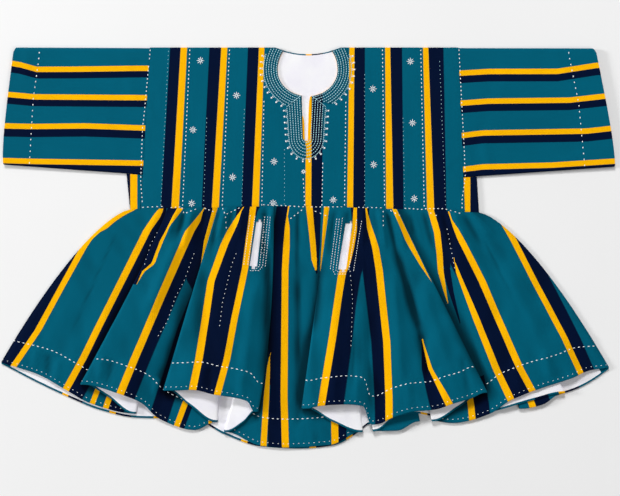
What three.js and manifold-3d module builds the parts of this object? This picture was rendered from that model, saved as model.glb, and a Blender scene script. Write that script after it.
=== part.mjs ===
// A batakari smock laid out flat: the back lies on the ground and the front lies on it.
// Millimetres, +X to the right of someone looking down at it, +Y to the shoulders, +Z up.
import * as THREE from 'three';
import Module from 'manifold-3d';

const wasm = await Module();
wasm.setup();
const { CrossSection } = wasm;

// Cloth: hand-woven cotton strips outside, thin white cotton inside.
const clothThick = 1.6;
const liningThick = 1.0;
const seamGap = 0.3;
const liningInset = 3;

// Heights of the layers in the flat parts, from the ground up.
const liningLow = clothThick + seamGap;
const frontLow = liningLow + liningThick + seamGap;
const frontTop = frontLow + clothThick;
const bandLow = frontTop + seamGap;
const bandThick = 1.0;

// Bodice: nine lines from shoulder to waist, eight hand-loomed strips between them.
const shoulderY = 458;
const waistTop = 95;
const waistFallLeft = 0.02;
const waistFallRight = 0.04;
const strips = [
  // line, x at the shoulder, x at the waist
  ['armhole_left', -363, -384],
  ['outer_left', -271, -289],
  ['middle_left', -180, -197],
  ['inner_left', -94, -106],
  ['centre', -5, -6],
  ['inner_right', 86, 84],
  ['middle_right', 172, 174],
  ['outer_right', 260, 265],
  ['armhole_right', 345, 360],
];

// Neck: an oval with an upright slit below it, both bordered by an embroidered band.
const neckX = -1;
const neckY = 407;
const neckHalfWidth = 69;
const neckDrop = 61;
const neckRise = 75;
const neckSteps = 32;
const slitX = -4;
const slitTopWidth = 20;
const slitFootWidth = 12;
const slitFoot = 244;
const bandWidth = 30;
const bandFoot = 10;
const backNeckDip = 15;
const backNeckHalfWidth = 75;

// Sleeves: flat tubes, a little open at the cuff and pressed flat at the armhole.
const cuffLoft = 9;
const sleeveRings = 7;
const sleeves = [
  // side, cuff x at top and bottom, top y at cuff and armhole, bottom y at cuff and armhole
  ['left', -674, -698, 458, 457, 189, 166],
  ['right', 659, 703, 456, 457, 184, 160],
];

// Gussets: the small squares folded under the arms.
const gussets = [
  // side, outer x at the top and at the waist
  ['left', -417, -409],
  ['right', 388, 393],
];

// Skirt: how cloth layers stack and how folds open towards the hem.
const layerStep = 2.4;
const liningRoom = liningThick + seamGap;
const foldSteps = 4;
const waistHeights = { front: frontLow + clothThick / 2, back: clothThick / 2 };
const rowsDown = [0, 0.03, 0.08, 0.15, 0.23, 0.32, 0.44, 0.57, 0.69, 0.8, 0.9, 0.975, 0.982, 1];
const backRowsDown = [0, 0.15, 0.32, 0.5, 0.69, 0.8, 0.9, 0.975, 0.982, 1];
const liningStart = 0.69;
const hemFold = 0.98;
const pocketTop = 0.03;
const pocketFoot = 0.32;
const pocketHalfWidth = 7;

// Each row is one line of the skirt from the waist seam down to the hem.
// x at the waist, x and y at the hem, how early it spreads (1 is a straight line),
// how many layers it lies on and how far it billows at the hem.
// A turn folds the cloth back: 1 at a right-hand edge, -1 at a left-hand edge,
// with the layers and billow that the cloth leaves the fold at.
const lineColumns = ['line', 'waistX', 'hemX', 'hemY', 'spread', 'layers', 'billow',
  'turn', 'layersOut', 'billowOut'];
const frontLines = [
  ['side_left', -407, -704, -264, 0.69, 0, 0],
  ['a_flare', -385, -616, -292, 0.85, 0, 3],
  ['a_seam', -356, -547, -331, 1, 0, 3],
  ['a_low', -338, -500, -357, 1, 0, 0.4],
  ['a_edge', -312, -396, -381, 1, 0, 0, 1, 1, 1],
  ['a_under', -317, -460, -340, 1, 1, 2],
  ['b_edge', -323, -520, -313, 1.13, 1, 2, -1, 2, 12],
  ['b_seam', -272, -428, -334, 1, 2, 14],
  ['b_slope', -248, -380, -356, 1, 1.2, 8],
  ['b_low', -231, -342, -392, 1, 0, 0.5],
  ['b_floor', -214, -260, -419, 1, 0, 0],
  ['b_fold', -196, -209, -400, 1, 0, 0, 1, 1, 1],
  ['b_under', -200, -270, -362, 1, 1, 2.5],
  ['c_edge', -206, -330, -326, 1, 1, 2.5, -1, 2, 15],
  ['c_seam', -164, -262, -324, 1, 2, 19],
  ['c_top', -134, -215, -334, 1, 2, 20],
  ['pocket_left', -109, -172, -341, 1, 2, 18],
  ['c_slope', -95, -138, -350, 1, 2, 16],
  ['c_fold', -79, -114, -375, 2.6, 2, 12, 1, 1, 3],
  ['c_under', -84, -150, -402, 1.5, 1, 2],
  ['d_fold', -90, -191, -423, 1.5, 1, 1.6, -1, 0, 0],
  ['d_left', -66, -108, -455, 1, 0, 0],
  ['d_seam', -50, -53, -459, 1, 0, 0.6],
  ['d_right', 5, 51, -453, 1, 0, 0],
  ['d_edge', 60, 124, -423, 1, 0, 0, 1, 1, 1],
  ['d_under', 55, 55, -398, 1, 1, 2.5],
  ['e_edge', 50, -14, -367, 1, 1, 2.5, -1, 2, 14],
  ['pocket_right', 102, 24, -361, 1, 2, 18],
  ['e_top', 114, 82, -357, 1, 2, 18],
  ['e_side', 124, 126, -362, 1, 2.2, 13],
  ['valley_left', 131, 147, -405, 1, 2.2, 6],
  ['valley_right', 138, 163, -403, 1, 2.2, 6],
  ['f_seam', 146, 190, -389, 1, 2.2, 12],
  ['f_left', 164, 245, -373, 1, 2.2, 16],
  ['f_crease', 178, 288, -370, 1, 2.2, 11],
  ['f_right', 187, 329, -356, 1, 2.2, 17],
  ['f_low', 194, 373, -343, 1, 2.2, 15],
  ['f_fold', 204, 409, -331, 1, 2.2, 13, 1, 1, 3],
  ['f_under', 199, 345, -366, 1, 1, 2.2],
  ['g_fold', 194, 285, -398, 1, 1, 1.6, -1, 0, 0],
  ['g_floor', 239, 330, -403, 1, 0, 0],
  ['g_low', 282, 420, -380, 1, 0.2, 1],
  ['g_rise', 308, 458, -352, 1, 2.5, 5],
  ['g_seam', 334, 506, -331, 1, 2.5, 6],
  ['g_flare', 362, 600, -300, 0.9, 2.5, 4],
  ['g_edge', 379, 649, -281, 0.8, 0.8, 1.5],
  ['side_right', 393, 691, -276, 0.69, 0, 0],
];
const backLines = [
  ['side_left', -407, -704, -267, 0.69, 0, 0],
  ['left_flare', -385, -616, -313, 0.85, 0, 0],
  ['left_seam', -356, -547, -345, 1, 0, 0],
  ['left_low', -336, -478, -373, 1, 0, 0],
  ['left_inner', -300, -393, -391, 1, 0, 0],
  ['under_b', -206, -265, -394, 1, 0, 0],
  ['under_c', -120, -190, -430, 1, 0, 0],
  ['centre_left', -66, -108, -457, 1, 0, 0],
  ['centre_seam', -20, -20, -462, 1, 0, 0],
  ['centre_right', 20, 60, -454, 1, 0, 0],
  ['under_e', 80, 116, -424, 1, 0, 0],
  ['under_valley', 120, 143, -405, 1, 0, 0],
  ['j_floor', 150, 210, -402, 1, 0, 0],
  ['j_edge', 170, 256, -399, 1, 0, 0, 1, 1.6, 3],
  ['j_middle', 156, 205, -420, 1, 1.6, 3],
  ['j_fold', 136, 150, -421, 1, 1.6, 3, -1, 2.6, 3],
  ['over_j', 156, 205, -386, 1, 2.6, 3],
  ['over_j_edge', 168, 250, -380, 1, 2.6, 3],
  ['down_from_j', 184, 274, -385, 1, 0, 0],
  ['right_floor', 239, 330, -392, 1, 0, 0],
  ['up_to_h', 282, 420, -378, 1, 0, 0],
  ['over_h', 308, 458, -366, 1, 2.6, 3],
  ['over_h_seam', 330, 520, -348, 1, 2.6, 3],
  ['h_edge', 352, 587, -333, 1, 2.6, 3, 1, 1.6, 3],
  ['h_middle', 340, 536, -361, 1, 1.6, 3],
  ['h_fold', 328, 485, -370, 1, 1.6, 3, -1, 0, 0],
  ['right_low', 350, 560, -344, 1, 0, 0],
  ['right_flare', 371, 619, -324, 0.85, 0, 0],
  ['right_edge', 383, 653, -306, 0.76, 0, 0],
  ['side_right', 393, 691, -279, 0.69, 0, 0],
];

// Pocket bags hang inside the front behind the slits, between two lines of the skirt.
const pocketBags = [
  ['left', 'c_seam', 'c_slope'],
  ['right', 'e_edge', 'e_side'],
];
const pocketBagFoot = 0.44;

// Gores: what is cut between one seam line and the next, left to right.
const frontGores = ['side_left', 'a_seam', 'b_seam', 'pocket_left', 'd_seam', 'pocket_right',
  'f_seam', 'f_right', 'g_seam', 'side_right'];
const backGores = ['side_left', 'left_seam', 'under_b', 'centre_seam', 'under_valley',
  'right_floor', 'over_h_seam', 'right_low', 'side_right'];

// Finishes.
const teal = { color: 0x00627a, roughness: 0.85, metalness: 0 };
const navy = { color: 0x0a1c3c, roughness: 0.85, metalness: 0 };
const white = { color: 0xf2f0f5, roughness: 0.9, metalness: 0 };
const yellow = { color: 0xffbe00, roughness: 0.85, metalness: 0 };

const smock = new THREE.Group();

const mix = (a, b, share) => a + (b - a) * share;

function addPiece(name, geometry, finish) {
  const material = new THREE.MeshStandardMaterial(finish);
  const piece = new THREE.Mesh(geometry, material);
  piece.name = name;
  smock.add(piece);
}

function triangleGeometry(points, triangles) {
  const geometry = new THREE.BufferGeometry();
  geometry.setAttribute('position', new THREE.Float32BufferAttribute(points.flat(), 3));
  geometry.setIndex(triangles.flat());
  geometry.computeVertexNormals();
  return geometry;
}

// Flat pieces: an outline cut out of cloth and laid at a height.
function outline(points) {
  return new CrossSection([points], 'NonZero');
}

function layFlat(name, shape, low, thick, finish) {
  const mesh = shape.offset(-seamGap / 2, 'Miter').extrude(thick).translate([0, 0, low]).getMesh();
  const points = [];
  for (let i = 0; i < mesh.vertProperties.length; i += mesh.numProp) {
    points.push(Array.from(mesh.vertProperties.slice(i, i + 3)));
  }
  addPiece(name, triangleGeometry(points, Array.from(mesh.triVerts)), finish);
}

// The waist seam falls a little from the centre towards both sides.
function waistY(x) {
  const out = x - strips[4][2];
  return waistTop - (out < 0 ? -out * waistFallLeft : out * waistFallRight);
}

function seamX(line, y) {
  const [, top, foot] = line;
  return mix(top, foot, (shoulderY - y) / (shoulderY - waistY(foot)));
}

function stripOutline(left, right) {
  return outline([
    [seamX(left, shoulderY), shoulderY],
    [left[2], waistY(left[2])],
    [right[2], waistY(right[2])],
    [seamX(right, shoulderY), shoulderY],
  ]);
}

function neckOval() {
  const points = [];
  for (let step = 0; step < neckSteps; step += 1) {
    const turn = (step / neckSteps) * 2 * Math.PI;
    const reach = Math.sin(turn) < 0 ? neckDrop : neckRise;
    points.push([neckX + neckHalfWidth * Math.cos(turn), neckY + reach * Math.sin(turn)]);
  }
  return outline(points);
}

function slitOutline(foot) {
  return outline([
    [slitX - slitTopWidth / 2, neckY],
    [slitX - slitFootWidth / 2, foot + slitFootWidth / 2],
    [slitX, foot],
    [slitX + slitFootWidth / 2, foot + slitFootWidth / 2],
    [slitX + slitTopWidth / 2, neckY],
  ]);
}

function shoulderDip() {
  return outline([
    [-backNeckHalfWidth, shoulderY],
    [-backNeckHalfWidth / 2, shoulderY - backNeckDip * 0.75],
    [0, shoulderY - backNeckDip],
    [backNeckHalfWidth / 2, shoulderY - backNeckDip * 0.75],
    [backNeckHalfWidth, shoulderY],
    [backNeckHalfWidth, shoulderY + 50],
    [-backNeckHalfWidth, shoulderY + 50],
  ]);
}

function bodiceStrips() {
  const dip = shoulderDip();
  return strips.slice(1).map((line, i) => stripOutline(strips[i], line).subtract(dip));
}

function makeBodice() {
  const neckHole = neckOval().add(slitOutline(slitFoot));
  bodiceStrips().forEach((strip, i) => {
    layFlat(`bodice_front_${i + 1}`, strip.subtract(neckHole), frontLow, clothThick, teal);
    layFlat(`bodice_back_${i + 1}`, strip, 0, clothThick, teal);
  });
  const whole = CrossSection.union(bodiceStrips()).offset(-liningInset, 'Miter');
  layFlat('lining_bodice', whole, liningLow, liningThick, white);
}

// The neck band is mitred where it turns from the oval into the slit.
function makeNeckBand() {
  const neckHole = neckOval().add(slitOutline(slitFoot));
  const outer = neckOval().add(slitOutline(slitFoot - bandFoot)).offset(bandWidth, 'Round', 2, 48);
  const band = outer.subtract(neckHole).intersect(CrossSection.union(bodiceStrips()));
  const mitreTop = neckY - neckDrop + 4;
  const mitreDrop = 28;
  const slitPart = outline([
    [slitX, mitreTop + 12],
    [slitX - slitTopWidth / 2, mitreTop],
    [slitX - slitTopWidth / 2 - bandWidth * 1.3, mitreTop - mitreDrop * 1.3],
    [slitX - 2 * bandWidth, 150],
    [slitX + 2 * bandWidth, 150],
    [slitX + slitTopWidth / 2 + bandWidth * 1.3, mitreTop - mitreDrop * 1.3],
    [slitX + slitTopWidth / 2, mitreTop],
  ]);
  const leftHalf = outline([[-200, 0], [slitX, 0], [slitX, 500], [-200, 500]]);
  const ovalPart = band.subtract(slitPart);
  layFlat('neck_band_left', ovalPart.intersect(leftHalf), bandLow, bandThick, navy);
  layFlat('neck_band_right', ovalPart.subtract(leftHalf), bandLow, bandThick, navy);
  layFlat('slit_band', band.intersect(slitPart), bandLow, bandThick, navy);
}

// A sleeve ring is a flat oval: a straight underside, a straight top and two round edges.
function sleeveSection(bottomY, topY, loft, inset) {
  const radius = loft / 2 - inset;
  const low = bottomY + loft / 2;
  const high = topY - loft / 2;
  const section = [];
  for (const share of [0, 1 / 3, 2 / 3]) {
    section.push([mix(low, high, share), inset]);
  }
  for (let step = 0; step <= foldSteps; step += 1) {
    const turn = (step / foldSteps) * Math.PI;
    section.push([high + radius * Math.sin(turn), loft / 2 - radius * Math.cos(turn)]);
  }
  for (const share of [2 / 3, 1 / 3]) {
    section.push([mix(low, high, share), loft - inset]);
  }
  for (let step = 0; step < foldSteps; step += 1) {
    const turn = (step / foldSteps) * Math.PI;
    section.push([low - radius * Math.sin(turn), loft / 2 + radius * Math.cos(turn)]);
  }
  return section;
}

function makeSleeve(side, cuffTopX, cuffBottomX, topCuff, topArm, bottomCuff, bottomArm) {
  const outward = side === 'left' ? -1 : 1;
  const armhole = side === 'left' ? strips[0] : strips[strips.length - 1];
  const rings = [];
  for (let ring = 0; ring < sleeveRings; ring += 1) {
    const share = ring / (sleeveRings - 1);
    const topY = mix(topCuff, topArm, share);
    const bottomY = mix(bottomCuff, bottomArm, share);
    const loft = mix(cuffLoft, frontTop, share);
    for (const inset of [0, clothThick]) {
      const ringPoints = sleeveSection(bottomY, topY, loft, inset).map(([y, z]) => {
        const cuffX = mix(cuffBottomX, cuffTopX, (y - bottomCuff) / (topCuff - bottomCuff));
        const armX = seamX(armhole, y) + outward * seamGap;
        return [mix(cuffX, armX, share), y, z];
      });
      rings.push(ringPoints);
    }
  }
  const around = rings[0].length;
  const points = rings.flat();
  const triangles = [];
  const spot = (ring, layer, k) => (ring * 2 + layer) * around + (k % around);
  const quad = (a, b, c, d) => (outward > 0 ? triangles.push([a, b, c], [a, c, d])
    : triangles.push([a, c, b], [a, d, c]));
  for (let k = 0; k < around; k += 1) {
    for (let ring = 1; ring < sleeveRings; ring += 1) {
      quad(spot(ring - 1, 0, k), spot(ring, 0, k), spot(ring, 0, k + 1), spot(ring - 1, 0, k + 1));
      quad(spot(ring - 1, 1, k), spot(ring - 1, 1, k + 1), spot(ring, 1, k + 1), spot(ring, 1, k));
    }
    const last = sleeveRings - 1;
    quad(spot(0, 0, k), spot(0, 0, k + 1), spot(0, 1, k + 1), spot(0, 1, k));
    quad(spot(last, 0, k), spot(last, 1, k), spot(last, 1, k + 1), spot(last, 0, k + 1));
  }
  addPiece(`sleeve_${side}`, triangleGeometry(points, triangles), teal);
}

// A gusset is folded along its outer edge, so its section is a U lying on its side.
function makeGusset(side, topX, waistX) {
  const outward = side === 'left' ? -1 : 1;
  const armhole = side === 'left' ? strips[0] : strips[strips.length - 1];
  const sleeve = sleeves.find((row) => row[0] === side);
  const [, , cuffX, , , cuffY, armY] = sleeve;
  const armX = seamX(armhole, armY);
  const sleeveEdge = (x) => mix(cuffY, armY, (x - cuffX) / (armX - cuffX)) - 2 * seamGap;
  const waistEdge = (x) => waistY(x) + seamGap / 2;
  const ends = [
    { outerX: topX, innerX: armX, edgeY: sleeveEdge },
    { outerX: waistX, innerX: armhole[2], edgeY: waistEdge },
  ];
  const rows = ends.map(({ outerX, innerX, edgeY }) => {
    const radius = frontTop / 2;
    const spot = (x, z) => [x, edgeY(x), z];
    const seamSideX = innerX + outward * 2 * seamGap;
    const bends = [radius, radius - clothThick].map((reach) => {
      const arc = [];
      for (let step = 0; step <= foldSteps; step += 1) {
        const turn = (step / foldSteps) * Math.PI;
        const x = outerX - outward * (radius - reach * Math.sin(turn));
        arc.push(spot(x, radius - reach * Math.cos(turn)));
      }
      return arc;
    });
    return [spot(seamSideX, 0), ...bends[0], spot(seamSideX, frontTop),
      spot(seamSideX, frontLow), ...bends[1].reverse(), spot(seamSideX, clothThick)];
  });
  const around = rows[0].length;
  const points = rows.flat();
  const triangles = [];
  const face = (a, b, c) => triangles.push(outward < 0 ? [a, b, c] : [a, c, b]);
  for (let k = 0; k < around; k += 1) {
    const next = (k + 1) % around;
    face(k, around + k, around + next);
    face(k, around + next, next);
  }
  const half = around / 2;
  for (let k = 0; k < half - 1; k += 1) {
    const mate = around - 1 - k;
    face(k, k + 1, mate - 1);
    face(k, mate - 1, mate);
    face(around + k, around + mate - 1, around + k + 1);
    face(around + k, around + mate, around + mate - 1);
  }
  addPiece(`gusset_${side}`, triangleGeometry(points, triangles), yellow);
}

// Skirt: the middle surface of the outer cloth, worked out line by line and row by row.
function readLines(rows) {
  return rows.map((row) => Object.fromEntries(row.map((value, i) => [lineColumns[i], value])));
}

function ease(value, from, to) {
  const share = Math.min(Math.max((value - from) / (to - from), 0), 1);
  return share * share * (3 - 2 * share);
}

function lineHeight(side, layers, billow, down) {
  const lining = side === 'front' ? liningRoom * ease(down, 0.4, liningStart) : 0;
  return waistHeights[side] + layers * layerStep + billow * down ** 1.2 + lining;
}

function lineSpots(side, line, down) {
  const x = mix(line.waistX, line.hemX, down ** line.spread);
  const y = mix(waistY(line.waistX) - seamGap / 2, line.hemY, down);
  const z = lineHeight(side, line.layers, line.billow, down);
  if (!line.turn) {
    return [new THREE.Vector3(x, y, z)];
  }
  const zOut = lineHeight(side, line.layersOut, line.billowOut, down);
  const radius = Math.abs(zOut - z) / 2;
  const spots = [];
  for (let step = 0; step <= foldSteps; step += 1) {
    const turn = (step / foldSteps) * Math.PI;
    const back = radius * (1 - Math.sin(turn));
    spots.push(new THREE.Vector3(x - line.turn * back, y, mix(z, zOut, (1 - Math.cos(turn)) / 2)));
  }
  return spots;
}

// A skirt row joins its lines, with one more spot halfway where neither line is a fold.
function skirtRow(side, lines, down) {
  const perLine = lines.map((line) => lineSpots(side, line, down));
  const row = [];
  const starts = {};
  perLine.forEach((spots, i) => {
    starts[lines[i].line] = row.length;
    row.push(...spots);
    const next = perLine[i + 1];
    if (!next) {
      return;
    }
    const here = spots[spots.length - 1];
    const halfway = here.clone().lerp(next[0], 0.5);
    const isPlain = [i - 1, i, i + 1, i + 2].every((k) => perLine[k] && perLine[k].length === 1);
    if (isPlain) {
      const outer = perLine[i - 1][0].clone().lerp(perLine[i + 2][0], 0.5);
      halfway.x += (halfway.x - outer.x) / 8;
      halfway.y += (halfway.y - outer.y) / 8;
    }
    row.push(halfway);
  });
  return { row, starts };
}

function skirtSurface(side, rows, downs) {
  const lines = readLines(rows);
  const made = downs.map((down) => skirtRow(side, lines, down));
  const spots = made.map((entry) => entry.row);
  const sign = side === 'front' ? 1 : -1;
  const normals = spots.map((row, i) => row.map((spot, j) => {
    const across = row[Math.min(j + 1, row.length - 1)].clone().sub(row[Math.max(j - 1, 0)]);
    const above = spots[Math.max(i - 1, 0)][j];
    const along = above.clone().sub(spots[Math.min(i + 1, spots.length - 1)][j]);
    return across.cross(along).normalize().multiplyScalar(sign);
  }));
  return { downs, spots, normals, starts: made[0].starts, sign };
}

// A wall is cut from the surface between two lines and two rows, with both faces moved off it.
// Its side edges stop short of the seam, and further back along a pocket slit.
function skirtWall(name, surface, cut, faces, finish) {
  const { downs, spots, normals, sign } = surface;
  const rows = downs.map((down, i) => i).filter((i) => downs[i] >= cut.from && downs[i] <= cut.to);
  const columns = cut.last - cut.first + 1;
  const points = [];
  const edgeShift = (i, isLeft) => {
    const isPocket = isLeft ? cut.pocketLeft : cut.pocketRight;
    const isOpen = downs[i] > pocketTop && downs[i] < pocketFoot;
    return isPocket && isOpen ? pocketHalfWidth : seamGap / 2;
  };
  for (const face of [0, 1]) {
    for (const i of rows) {
      for (let j = cut.first; j <= cut.last; j += 1) {
        const spot = spots[i][j].clone();
        if (j === cut.first) {
          const inward = spots[i][j + 1].clone().sub(spots[i][j]).normalize();
          spot.addScaledVector(inward, edgeShift(i, true));
        }
        if (j === cut.last) {
          const inward = spots[i][j - 1].clone().sub(spots[i][j]).normalize();
          spot.addScaledVector(inward, edgeShift(i, false));
        }
        spot.addScaledVector(normals[i][j], faces(downs[i])[face]);
        points.push(spot.toArray());
      }
    }
  }
  const triangles = [];
  const at = (face, i, j) => (face * rows.length + i) * columns + j;
  const quad = (a, b, c, d) => (sign > 0 ? triangles.push([a, b, c], [a, c, d])
    : triangles.push([a, c, b], [a, d, c]));
  for (let i = 1; i < rows.length; i += 1) {
    for (let j = 1; j < columns; j += 1) {
      quad(at(0, i - 1, j - 1), at(0, i, j - 1), at(0, i, j), at(0, i - 1, j));
      quad(at(1, i - 1, j - 1), at(1, i - 1, j), at(1, i, j), at(1, i, j - 1));
    }
    quad(at(0, i - 1, 0), at(1, i - 1, 0), at(1, i, 0), at(0, i, 0));
    quad(at(0, i - 1, columns - 1), at(0, i, columns - 1), at(1, i, columns - 1), at(1, i - 1, columns - 1));
  }
  const end = rows.length - 1;
  for (let j = 1; j < columns; j += 1) {
    quad(at(0, 0, j - 1), at(0, 0, j), at(1, 0, j), at(1, 0, j - 1));
    quad(at(0, end, j - 1), at(1, end, j - 1), at(1, end, j), at(0, end, j));
  }
  addPiece(name, triangleGeometry(points, triangles), finish);
}

// The outer cloth is turned in along the hem: the wall is thicker there and the lining stops above it.
function outerFaces(down) {
  const inner = down > hemFold ? clothThick / 2 + seamGap + liningThick : clothThick / 2;
  return [clothThick / 2, -inner];
}

function liningFaces() {
  const outer = clothThick / 2 + seamGap;
  return [-outer, -outer - liningThick];
}

function makeSkirt(side, lines, downs, gores) {
  const surface = skirtSurface(side, lines, downs);
  for (let i = 1; i < gores.length; i += 1) {
    const cut = {
      first: surface.starts[gores[i - 1]],
      last: surface.starts[gores[i]],
      from: 0,
      to: 1,
      pocketLeft: gores[i - 1].startsWith('pocket'),
      pocketRight: gores[i].startsWith('pocket'),
    };
    skirtWall(`skirt_${side}_${i}`, surface, cut, outerFaces, teal);
  }
  const all = { first: 0, last: surface.spots[0].length - 1, from: liningStart, to: hemFold };
  skirtWall(`lining_skirt_${side}`, surface, all, liningFaces, white);
  return surface;
}

function makePocketBags(surface) {
  pocketBags.forEach(([side, from, to]) => {
    const cut = {
      first: surface.starts[from] + (side === 'right' ? foldSteps + 1 : 0),
      last: surface.starts[to],
      from: pocketTop,
      to: pocketBagFoot,
    };
    skirtWall(`pocket_bag_${side}`, surface, cut, liningFaces, white);
  });
}

makeBodice();
makeNeckBand();
sleeves.forEach((row) => makeSleeve(...row));
gussets.forEach((row) => makeGusset(...row));
makePocketBags(makeSkirt('front', frontLines, rowsDown, frontGores));
makeSkirt('back', backLines, backRowsDown, backGores);

export default smock;
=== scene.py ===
import math
from functools import partial

import bpy
import numpy as np
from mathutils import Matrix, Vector
from mathutils.bvhtree import BVHTree


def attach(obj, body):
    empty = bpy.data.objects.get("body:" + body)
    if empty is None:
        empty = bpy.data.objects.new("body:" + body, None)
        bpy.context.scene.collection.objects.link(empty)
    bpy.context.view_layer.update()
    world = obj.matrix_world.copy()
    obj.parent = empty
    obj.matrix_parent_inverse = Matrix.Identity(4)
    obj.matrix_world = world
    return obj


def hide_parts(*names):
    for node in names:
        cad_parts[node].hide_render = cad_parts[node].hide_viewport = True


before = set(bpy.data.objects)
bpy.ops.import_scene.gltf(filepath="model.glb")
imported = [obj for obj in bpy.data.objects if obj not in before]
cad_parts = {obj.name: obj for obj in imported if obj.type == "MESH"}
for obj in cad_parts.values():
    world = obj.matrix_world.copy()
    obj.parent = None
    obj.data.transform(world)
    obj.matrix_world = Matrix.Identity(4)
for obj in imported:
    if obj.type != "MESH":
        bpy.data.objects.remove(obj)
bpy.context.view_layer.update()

mm = 0.001  # the tables below are in millimetres


# Small helpers for sheets of cloth.

def deselectAll():
    if bpy.context.mode != "OBJECT":
        bpy.ops.object.mode_set(mode="OBJECT")
    bpy.ops.object.select_all(action="DESELECT")


def pick(piece):
    deselectAll()
    piece.select_set(True)
    bpy.context.view_layer.objects.active = piece


def applyModifier(piece, kind, **settings):
    pick(piece)
    modifier = piece.modifiers.new(kind.title(), kind)
    for key, value in settings.items():
        setattr(modifier, key, value)
    bpy.ops.object.modifier_apply(modifier=modifier.name)


def softEdges(piece, angle=50):
    pick(piece)
    bpy.ops.object.shade_smooth_by_angle(angle=math.radians(angle))


def onAllFaces(piece, operation, **settings):
    # one of Blender's mesh tools, used on the whole piece
    pick(piece)
    bpy.ops.object.mode_set(mode="EDIT")
    bpy.ops.mesh.select_all(action="SELECT")
    operation(**settings)
    bpy.ops.object.mode_set(mode="OBJECT")


def turnUp(piece, level=-1):
    # turns every face over if the ones above a height look down
    facing = sum(face.normal.z for face in piece.data.polygons if face.center.z > level * mm)
    if facing < 0:
        piece.data.flip_normals()


def gridSheet(name, columns, rows):
    # a flat sheet of small squares; each point knows its column and its row, counted from the top
    deselectAll()
    bpy.ops.mesh.primitive_grid_add(x_subdivisions=columns, y_subdivisions=rows, size=1, calc_uvs=False)
    piece = bpy.context.object
    piece.name = piece.data.name = name
    spots = readSpots(piece)
    column = np.rint((spots[:, 0] + 0.5) * columns).astype(int)
    row = np.rint((0.5 - spots[:, 1]) * rows).astype(int)
    return piece, column, row


def readSpots(piece):
    spots = np.empty(len(piece.data.vertices) * 3)
    piece.data.vertices.foreach_get("co", spots)
    return spots.reshape(-1, 3)


def placeSpots(piece, spots):
    piece.data.vertices.foreach_set("co", (np.asarray(spots) * mm).ravel())
    piece.data.update()


def faceCorners(piece):
    corners = np.empty(len(piece.data.loops), int)
    piece.data.loops.foreach_get("vertex_index", corners)
    return corners.reshape(-1, 4)


def writeUv(piece, name, perCorner):
    layer = piece.data.uv_layers.get(name) or piece.data.uv_layers.new(name=name)
    layer.data.foreach_set("uv", np.asarray(perCorner, np.float32).ravel())


noStripe = 9.0                        # a place well outside any stripe
farthest, notAllowed = 90.0, 99.0     # past this distance a stripe doesn't count


def stripeUv(piece, yellows, navies, allowed, paintedShade=0):
    # each face follows the stripe that is nearest to it: within -1..1 is yellow (u) or navy (v)
    corners = faceCorners(piece)
    faces = np.arange(len(corners))
    found = []
    for fields in (yellows, navies):
        atCorners = np.asarray(fields)[:, corners]
        distance = np.abs(atCorners.mean(axis=2))
        distance[~allowed] = notAllowed
        nearest = distance.argmin(axis=0)
        values = atCorners[nearest, faces]
        values[distance[nearest, faces] > farthest] = noStripe
        found.append(values)
    writeUv(piece, "stripes", np.stack(found, axis=2))
    # the second map carries painted shade: how much darker each point is painted
    depth = (np.zeros(len(piece.data.vertices)) + paintedShade)[corners]
    writeUv(piece, "paintedShade", np.stack([depth, depth * 0], axis=2))


def thicken(piece, thickness, offset=0):
    applyModifier(piece, "SOLIDIFY", thickness=thickness * mm, offset=offset, use_rim=True)


def mix(a, b, share):
    return a + (b - a) * share


def across(place, low, high):
    # how far a place lies across a stripe: -1 and 1 are its edges
    return (place - (low + high) / 2) / ((high - low) / 2)


def ease(value, low, high):
    share = np.clip((value - low) / (high - low), 0, 1)
    return share * share * (3 - 2 * share)


# Shader nodes.

class Socket:
    def __init__(self, tree, link):
        self.tree, self.link = tree, link

    def make(self, kind, settings=None, values=None, out=0):
        made = self.tree.nodes.new(kind)
        for key, value in (settings or {}).items():
            setattr(made, key, value)
        for key, value in (values or {}).items():
            if isinstance(value, Socket):
                self.tree.links.new(value.link, made.inputs[key])
            else:
                made.inputs[key].default_value = value
        return Socket(self.tree, made.outputs[out])

    def maths(self, operation, first, second=0.0, clamp=False):
        settings = {"operation": operation, "use_clamp": clamp}
        return self.make("ShaderNodeMath", settings, {0: first, 1: second})

    def __add__(self, other):
        return self.maths("ADD", self, other)

    def __radd__(self, other):
        return self.maths("ADD", other, self)

    def __sub__(self, other):
        return self.maths("SUBTRACT", self, other)

    def __rsub__(self, other):
        return self.maths("SUBTRACT", other, self)

    def __mul__(self, other):
        return self.maths("MULTIPLY", self, other)

    def __rmul__(self, other):
        return self.maths("MULTIPLY", other, self)

    def __abs__(self):
        return self.maths("ABSOLUTE", self)

    def clamped(self):
        return self.maths("ADD", self, 0.0, clamp=True)

    def sine(self):
        return self.maths("SINE", self)

    def part(self, which):
        return self.make("ShaderNodeSeparateXYZ", values={0: self}, out=which)

    def stretched(self, x, y, z=1.0):
        return self.make("ShaderNodeVectorMath", {"operation": "MULTIPLY"}, {0: self, 1: (x, y, z)})

    def noise(self, scale=1.0, detail=2.0):
        values = {"Vector": self, "Scale": scale, "Detail": detail}
        return self.make("ShaderNodeTexNoise", {"noise_dimensions": "3D"}, values)

    def between(self, first, second):
        return self.make("ShaderNodeMix", {"data_type": "RGBA"}, {0: self, 6: first, 7: second}, out=2)

    def tinted(self, colour, brightness):
        # a colour made lighter or darker by a number
        grey = self.make("ShaderNodeCombineXYZ", values={0: brightness, 1: brightness, 2: brightness})
        return self.make("ShaderNodeVectorMath", {"operation": "MULTIPLY"}, {0: colour, 1: grey})


def linear(red, green, blue):
    # a colour as seen on a screen, 0 to 255
    shares = [value / 255 for value in (red, green, blue)]
    return tuple(s / 12.92 if s <= 0.04045 else ((s + 0.055) / 1.055) ** 2.4 for s in shares) + (1.0,)


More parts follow.
